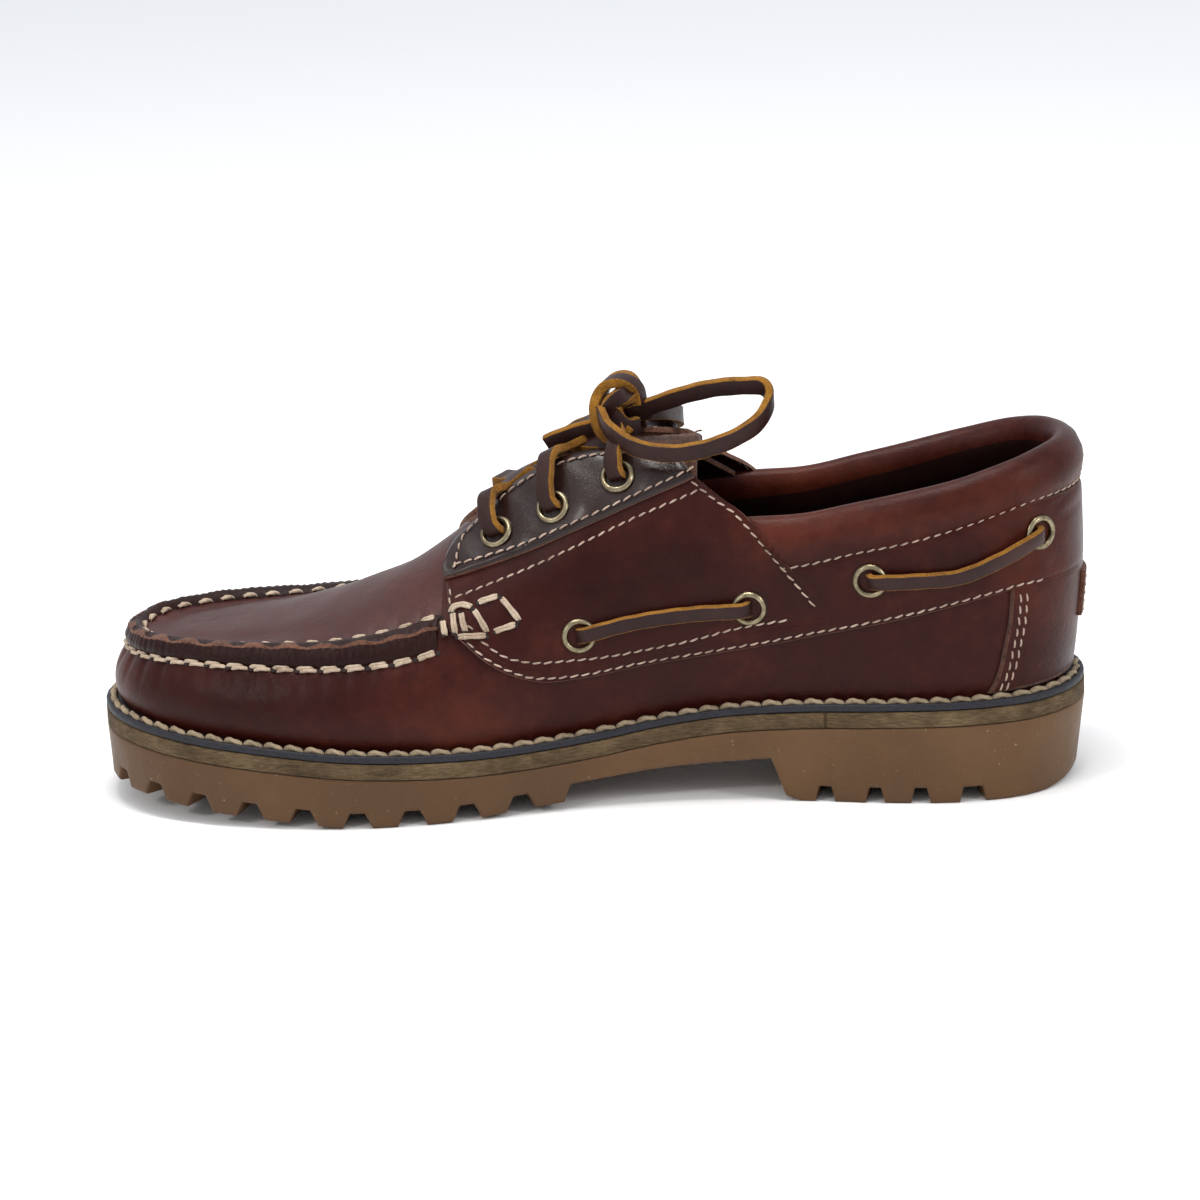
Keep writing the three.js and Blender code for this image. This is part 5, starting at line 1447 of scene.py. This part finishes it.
def heel_tab():
    shape = Shape()
    left = straight(np.array([-0.02, 0.1]), np.array([-0.018, 0.19]))
    right = straight(np.array([0.02, 0.1]), np.array([0.018, 0.19]))
    grid = patch_grid(straight(left[0], right[0]), straight(left[-1], right[-1]), left, right, 0.6)

    def lower(points, distances):
        return groove(np.minimum(distances[0], distances[1]), 1.2)

    slab(shape, grid, PANEL_OUT, OVERLAY, lower, strip=0.25)
    return shape.piece("heel_tab_panel", [OXBLOOD, RAW_EDGE], ["heel_tab"])


# Padded top line, sewn to the band along its foot
def collar():
    shape = Shape()
    section = table("out up kind", [
        [0.36, -1.02, 0], [0.52, -0.97, 0], [0.74, -0.88, 0], [0.98, -0.76, 0], [1.14, -0.62, 0],
        [1.2, -0.48, 0],
        [1.14, -0.34, 0], [0.98, -0.21, 0], [0.74, -0.1, 0], [0.4, -0.02, 0], [0, 0.025, 0], [-0.45, 0.03, 0],
        [-0.9, 0.0, 0], [-1.3, -0.08, 0], [-1.62, -0.2, 0], [-1.8, -0.36, 1], [-1.84, -0.55, 1],
        [-1.76, -0.75, 1],
        [-1.5, -0.95, 1], [-1.1, -1.1, 1], [-0.75, -1.2, 1],
    ])
    turns = np.linspace(-0.4, 0.4, 560)
    rows = []
    along = LENGTH / 2 - face_point(turns, np.full(turns.shape, SHOULDER_AT))[..., 0]
    top, foot = line_height(TOP_LINE, along), line_height(COLLAR_STITCH, along)
    wrinkles = smoothstep(0.1, 0.0, np.abs(turns)) * 0.5 + 0.35
    for out, up in zip(section["out"], section["up"]):
        height = top + up * (top - foot)
        rise = rise_at(turns, height)
        points = face_point(turns, rise)
        hidden = smoothstep(-0.5, 1.5, under_quarter(points)) * (along > 0.24 * LENGTH)
        reach = out * COLLAR_PAD * (1 - 0.85 * hidden) if out > 0 else np.full(turns.shape, out * COLLAR_PAD)
        fold = 0.16 * np.sin(up * 26 + 1.2 * np.sin(turns * 31) + turns * 9) * wrinkles
        soft = 0.12 * np.sin(turns * 52 + up * 3) + 0.1 * np.sin(turns * 23 - up * 5)
        rows.append(offset_point(turns, rise, reach + (fold + soft) * (abs(out) > 0.45)))
    ids = shape.add(np.stack(rows))
    shape.skin(ids, np.broadcast_to(section["kind"][:-1, None].astype(int), (len(rows) - 1, len(turns) - 1)))
    shape.cap(ids[:, 0], 0)
    shape.cap(ids[::-1, -1], 0)
    obj = shape.piece("collar_roll", [OXBLOOD, LINING], ["collar"])
    return obj


def tongue():
    shape = Shape()
    along = np.linspace(0.383, 0.68, 110) * LENGTH
    half = np.interp(along / LENGTH, [0.383, 0.4, 0.41, 0.65, 0.68], [17, 22.5, 25, 24.7, 15.6])
    share = np.linspace(-1, 1, 61)
    rows = {}
    for name, out in (("top", -(WALL + 2 * GAP)), ("bottom", -(WALL + 2 * GAP) - TONGUE)):
        grid = []
        for s in share:
            side = LATERAL if s >= 0 else MEDIAL
            line = roof(side, along, np.abs(s) * half)
            fuzz = 0.12 * np.sin(along * 2.3 + s * 9) + 0.1 * np.sin(along * 1.1 - s * 17)
            grid.append(offset_point(line[:, 0], line[:, 1], out + fuzz))
        rows[name] = np.stack(grid)
    top, bottom = shape.add(rows["top"]), shape.add(rows["bottom"])
    shape.skin(top[::-1], 0)
    shape.skin(bottom, 1)
    loop = lambda ids: np.concatenate([ids[0, :-1], ids[:-1, -1], ids[-1, :0:-1], ids[:0:-1, 0]])
    shape.skin(np.stack([loop(top), loop(bottom)]), 1, closed=True)
    return shape.piece("tongue_leather", [DARK_SUEDE, DARK_SUEDE], ["tongue"])


# Machine stitching of the panels on both sides
def inside_line(side, rows, shift_along, shift_up, part=(0, 1), count=60):
    moved = {"along": rows["along"] + shift_along / LENGTH, "up": rows["up"] + shift_up / INSTEP}
    return side_line(side, moved, count, part=part)


def panel_stitches():
    shape = Shape()
    quarter_top = PANEL_OUT + 0.12
    for side in SIDES.values():
        stitch_row(shape, inside_line(side, QUARTER_FOOT, 0, 2.0, (0.06, 0.9)), quarter_top)
        stitch_row(shape, inside_line(side, QUARTER_BACK, 2.4, 0, (0.05, 0.98)), quarter_top)
        second = {"along": np.array([0.38, 0.47, 0.55, 0.626]), "up": np.array([0.79, 0.712, 0.612, 0.512])}
        stitch_row(shape, side_line(side, second), quarter_top)
        stitch_row(shape, inside_line(side, BAND_FOOT, 0, 1.1, (0.07, 0.96), 120), PANEL_OUT - 0.1)
        stitch_row(shape, inside_line(side, COLLAR_STITCH, 0, -0.1, (0.06, 0.92)), PANEL_OUT - 0.25)
        for step in (2.6, 4.4):
            stitch_row(shape, inside_line(side, COUNTER_FRONT, -step, 0, (0.05, 0.93)), PANEL_OUT - 0.2)
        stay_stitches(shape, side)
    for turn in (-0.0165, 0.0165):
        line = straight(np.array([turn, 0.104]), np.array([turn * 0.9, 0.186]))
        stitch_row(shape, line, PANEL_OUT + OVERLAY - 0.05, 2.4)
    return shape.piece("panel_stitches", [CREAM, HOLE_SHADE])


def stay_stitches(shape, side):
    over = STAY_OUT + 0.55
    foot = inside_line(side, STAY_FOOT, 0, 2.0, (0.02, 0.97))
    top = throat_line(side, 0.403, 2.0)
    top[:, 0] -= side * 0.012 * smoothstep(0.6, 1, np.linspace(0, 1, len(top)))
    front = straight(top[-1], foot[-1])
    stitch_row(shape, foot, over)
    stitch_row(shape, np.concatenate([top, front[1:]]), over)
    lower = locate_up(side, np.array([0.63, 0.629]), np.array([0.49, 0.54]))
    stitch_row(shape, lower, PANEL_OUT + 0.12)


# Eyelets: rolled brass rings
def eyelet(name, side, along, up, seat):
    shape = Shape()
    turn, rise = locate_up(side, along, up)
    normal = face_normal(turn, rise)
    centre = face_point(turn, rise) + normal * (seat - 0.15)
    helper = np.array([1.0, 0.0, 0.0])
    first = unit(helper - normal * (helper @ normal))
    second = np.cross(normal, first)
    bore, flange = EYELET_BORE / 2, EYELET_WIDTH / 2
    section = [
        (bore + 0.1, -3.4), (bore, -1.5), (bore, 0.2), (bore + 0.12, 0.62), (bore + 0.42, 0.98),
        (bore + 0.85, 1.12),
        (bore + 1.25, 1.02), (flange - 0.32, 0.72), (flange - 0.08, 0.42), (flange, 0.15),
        (flange - 0.15, -0.2),
    ]
    around = np.linspace(0, 2 * math.pi, 48, endpoint=False)
    rows = []
    for radius, height in section:
        ring = first * np.cos(around)[:, None] + second * np.sin(around)[:, None]
        rows.append(centre + ring * radius + normal * height)
    shape.skin(shape.add(np.stack(rows))[:, ::-1], 0, closed=True)
    return shape.piece(f"brass_{name}", [BRASS], [f"eyelet_{name}"])


def eyelets():
    for side_name, side in SIDES.items():
        for name, (along, up) in LACE_EYELETS.items():
            eyelet(f"{name}_{side_name}", side, along, up, STAY_OUT)
        for name, (along, up) in SIDE_EYELETS.items():
            eyelet(f"{name}_{side_name}", side, along, up, PANEL_OUT)


# Laces
def side_lace(name, run_name, start, end):
    side = SIDES[name]
    shape = Shape()
    ends = [locate_up(side, *SIDE_EYELETS[key]) for key in (start, end)]
    points = [offset_point(turn, rise, PANEL_OUT) for turn, rise in ends]
    run = points[1] - points[0]
    length = np.linalg.norm(run)
    way = np.array([0, 0.3, 1.8, 5.2])
    middle = GAP + LACE_THICKNESS / 2 + 0.5
    share = np.concatenate([way / length, [0.27, 0.5, 0.73], 1 - way[::-1] / length])
    over = np.concatenate([[-3.4, 0.3, 2.1, 2.7], [middle] * 3, [2.7, 2.1, 0.3, -3.4]])
    spot = ends[0][None] * (1 - share)[:, None] + ends[1][None] * share[:, None]
    route = offset_point(spot[:, 0], spot[:, 1], PANEL_OUT + over)
    normals = face_normal(spot[:, 0], spot[:, 1])
    upwards = unit(np.cross(np.broadcast_to(run, normals.shape), normals))
    upwards = upwards * np.sign(upwards[:, 2:])
    strap(shape, *smooth_route(route, 0.7, upwards + 0.38 * normals), width=4.6, thickness=2.2)
    node = f"side_lace_{run_name}_{name}"
    return shape.piece(f"rawhide_{run_name}_{name}", [RAWHIDE, MUSTARD], [node])


def roof_point(side, along, across, over):
    turn, rise = roof(side, np.array(along, float), np.array(across, float))
    return offset_point(turn, rise, over)


ALONG_INSTEP = roof_point(MEDIAL, LACE_EYELETS["back"][0] * LENGTH, 0, 0) - roof_point(
    MEDIAL, LACE_EYELETS["front"][0] * LENGTH, 0, 0
)
LACE_BED = -(WALL + 2 * GAP) + GAP + LACE_THICKNESS / 2


# A strand rises out of its eyelet, stands up in a round hump and bends over the stay's edge.
def strand_out(side, name):
    along, up = LACE_EYELETS[name]
    turn, rise = locate_up(side, along, up)
    along = along * LENGTH
    across = side * (face_point(turn, rise)[1] + SPINE_SHIFT)
    edge = throat_half(side, along)
    hump = 4.6 if side == MEDIAL else 2.6
    return [
        *[offset_point(turn, rise, STAY_OUT + over) for over in (-3, 0.2, 1.6)],
        roof_point(side, along, across - 1.2, STAY_OUT + hump * 0.62),
        roof_point(side, along - 0.2, across * 0.6 + edge * 0.4, STAY_OUT + hump),
        roof_point(side, along - 0.8, edge + 1.2, STAY_OUT + hump * 0.95),
    ]


def cross_strand(side, name, next_name):
    start = LACE_EYELETS[name][0] * LENGTH
    end = LACE_EYELETS[next_name][0] * LENGTH + EYELET_WIDTH / 2
    far = throat_half(-side, end)
    return [
        *strand_out(side, name),
        roof_point(side, start - 2.4, throat_half(side, start) - 2.6, STAY_OUT - 0.6),
        roof_point(side, (start + end) / 2, 0, LACE_BED + GAP + (0.9 if side == MEDIAL else 0)),
        roof_point(-side, end, far * 0.5, LACE_BED + GAP),
        roof_point(-side, end - 2, far * 0.95, LACE_BED + GAP),
    ]


# Direction of a strand's width, which turns its rear edge outwards on its way up
def strand_width(side, points):
    outwards = np.array([0.5, 0.5, 0.5, 0.45, 0.3, 0.1] + [0] * (len(points) - 6))
    return unit(ALONG_INSTEP) + outwards[:, None] * [0, side, 0.2]


def front_lace():
    for node, name, next_name in (("front", "front", "middle"), ("middle", "middle", "back")):
        shape = Shape()
        for side in SIDES.values():
            points = cross_strand(side, name, next_name)
            strap(shape, *smooth_route(points, 0.6, strand_width(side, points)), flesh=-side)
        shape.piece(f"rawhide_cross_{node}", [RAWHIDE, MUSTARD], [f"lace_cross_{node}"])
    for name, side in SIDES.items():
        shape = Shape()
        points = [*strand_out(side, "back"), KNOT_AT + [0, side * 4.2, -4.5]]
        strap(shape, *smooth_route(points, 0.6, strand_width(side, points)), flesh=-side)
        shape.piece(f"rawhide_rise_{name}", [RAWHIDE, MUSTARD], [f"lace_rise_{name}"])


KNOT_AT = np.array([10.5, -2.5, 116.0])

# Straps wound round the bow's middle: points of their routes from the knot's middle, the direction of
# the strap's width, and its flesh side
KNOT_WRAPS = [
    ([(4.6, -4.6, -5.0), (1.2, -5.6, -8.6), (-3.0, -5.8, -6.6), (-5.2, -5.2, -1.6), (-5.0, -4.4, 4.0),
      (-2.2, -3.4, 8.0), (2.4, -2.6, 8.9), (6.4, -2.2, 6.4), (7.6, -2.4, 1.6)], (0.42, 1, 0.18), -1),
    ([(6.6, 1.6, 4.8), (4.0, 2.0, 8.6), (-0.6, 2.2, 8.4), (-3.8, 2.0, 4.8), (-4.4, 1.8, -0.4),
      (-2.6, 1.6, -5.4), (1.2, 1.2, -7.4), (5.0, 1.0, -5.0)], (0.3, 1, 0.1), -1),
    ([(-3.4, -4.2, -4.6), (-2.6, -5.4, -1.0), (-1.2, -6.2, 2.4), (1.0, -6.0, 4.4), (4.0, -4.4, 4.6),
      (5.6, -1.6, 3.2)], (1, 0.3, -0.4), 1),
    ([(7.0, -3.4, -4.4), (4.2, -5.0, -4.6), (1.4, -5.8, -2.8), (0.0, -5.2, 0.4), (0.8, -3.4, 3.6)],
     (0.3, 0.2, 1), 1),
    ([(5.8, 4.2, -5.6), (6.4, 2.8, -1.6), (5.0, 0.6, 2.4), (1.8, -1.6, 4.4)], (1, 0.3, 0.2), 1),
    ([(-3.0, 1.6, -6.4), (-2.4, -0.8, -1.6), (-0.6, -1.6, 3.6), (3.0, -1.0, 5.6), (5.6, 0.4, 2.0),
      (5.0, 1.4, -4.4)], (0.2, 1, 0), 1),
]


def knot():
    shape = Shape()
    for route, across, flesh in KNOT_WRAPS:
        points = np.array(route) + KNOT_AT
        strap(shape, *smooth_route(points, 0.5, [across] * len(points)), 4.8, 3.0, flesh)
    return shape.piece("bow_knot", [RAWHIDE, MUSTARD], ["knot"])


# The bow's strands, each a free length of the flat lace
BOW = {
    "bow_loop_medial": [
        (6.2, -8.9, 116.2), (7.6, -13, 114.4), (9.2, -17.4, 113), (12.2, -21, 111.5), (16.4, -23.4, 109.2),
        (22.7, -24.6, 107.6), (28.8, -25.4, 107.2), (35, -25.5, 107.8), (41.1, -25, 109.2),
        (47.1, -24, 111.3),
        (53.2, -22, 114.7), (56.2, -19.5, 118.1), (57.4, -16.5, 121.7), (55.6, -13.5, 124.1), (50, -11, 124),
        (40.7, -8.5, 122.9), (31.4, -6.5, 120.5), (23.9, -5, 117.8), (19.8, -4, 116.2), (14, -3.4, 114.6),
    ],
    "bow_loop_lateral": [
        (14, -1.0, 115), (18.9, -0.6, 114.2), (21.5, 3, 113.6), (24.2, 8, 112.2), (26.4, 14, 110.4),
        (27.8, 20, 108.2), (27.6, 26, 105.6), (25, 30.4, 103.4), (21, 30, 103.2), (18.4, 25.5, 105.2),
        (17.2, 19, 107.8), (16.8, 12.5, 110), (17.4, 6.5, 111.6), (18.4, 2.6, 111.4), (15, 0.5, 112.4),
    ],
    "bow_end_medial": [
        (18.5, -3.0, 117.5), (12.5, -3.6, 114.6), (8, -3.6, 112.2), (3.8, -3.4, 110.4), (0.4, -3, 109.4),
        (-3.2, -2.5, 108.3), (-7, -1.8, 106.8), (-10.9, -1, 105),
    ],
    "bow_end_lateral": [
        (9, 1.4, 111.6), (5.4, 4.4, 110.4), (3.4, 8.5, 109.2), (0.6, 13.5, 107.2), (-3, 19, 104.6),
        (-6.5, 24.5, 101), (-9.4, 29, 96.4),
    ],
}


def bow():
    for name, points in BOW.items():
        shape = Shape()
        route, across = smooth_route(points, 0.8, [(0, -0.3, 1)] * len(points))
        strap(shape, route, across)
        obj = shape.piece(f"strand_{name}", [RAWHIDE, MUSTARD], [name])


# Studio
def area_light(name, place, aim, size, power, color=(1, 1, 1)):
    data = bpy.data.lights.new(name, "AREA")
    data.shape = "RECTANGLE"
    data.size, data.size_y = size
    data.energy = power
    data.color = color
    obj = bpy.data.objects.new(name, data)
    toward = (Vector(aim) - Vector(place)).normalized()
    obj.matrix_world = Matrix.Translation(place) @ toward.to_track_quat("-Z", "Y").to_matrix().to_4x4()
    bpy.context.scene.collection.objects.link(obj)


def studio():
    floor = bpy.data.meshes.new("floor")
    reach = 8
    floor.from_pydata(
        [(-reach, -reach, 0), (reach, -reach, 0), (reach, reach, 0), (-reach, reach, 0)], [], [(0, 1, 2, 3)]
    )
    floor.materials.append(pale_floor())
    obj = bpy.data.objects.new("floor", floor)
    bpy.context.scene.collection.objects.link(obj)
    world = bpy.data.worlds.new("studio")
    world.use_nodes = True
    world.node_tree.nodes["Background"].inputs["Color"].default_value = (0.93, 0.96, 1, 1)
    world.node_tree.nodes["Background"].inputs["Strength"].default_value = 0.88
    bpy.context.scene.world = world
    area_light("sky", (-0.1, 0.25, 1.5), (0, 0.1, 0), (1.6, 1.2), 6, (1, 0.99, 0.97))
    area_light("strip", (-0.05, -0.1, 0.9), (0, 0, 0.08), (0.5, 0.07), 5, (1, 0.97, 0.93))
    area_light("key", (-0.8, -0.9, 0.8), (-0.03, 0, 0.05), (0.22, 0.16), 4, (1, 0.96, 0.92))
    area_light("rim", (0.9, -0.5, 0.6), (0.08, 0, 0.06), (0.12, 0.3), 3, (1, 0.98, 0.95))
    bpy.context.scene.view_settings.view_transform = "Standard"


camera()
bow()
knot()
outsole()
midsole()
welt()
welt_stitches()
insole()
upper()
moc_seam()
hand_stitches()
for side_name in SIDES:
    quarter(side_name)
    eyestay(side_name)
    side_lace(side_name, "front", "quarter_front", "quarter_back")
    side_lace(side_name, "back", "band_front", "band_back")
ankle_band()
counter()
heel_tab()
collar()
tongue()
panel_stitches()
eyelets()
front_lace()
studio()
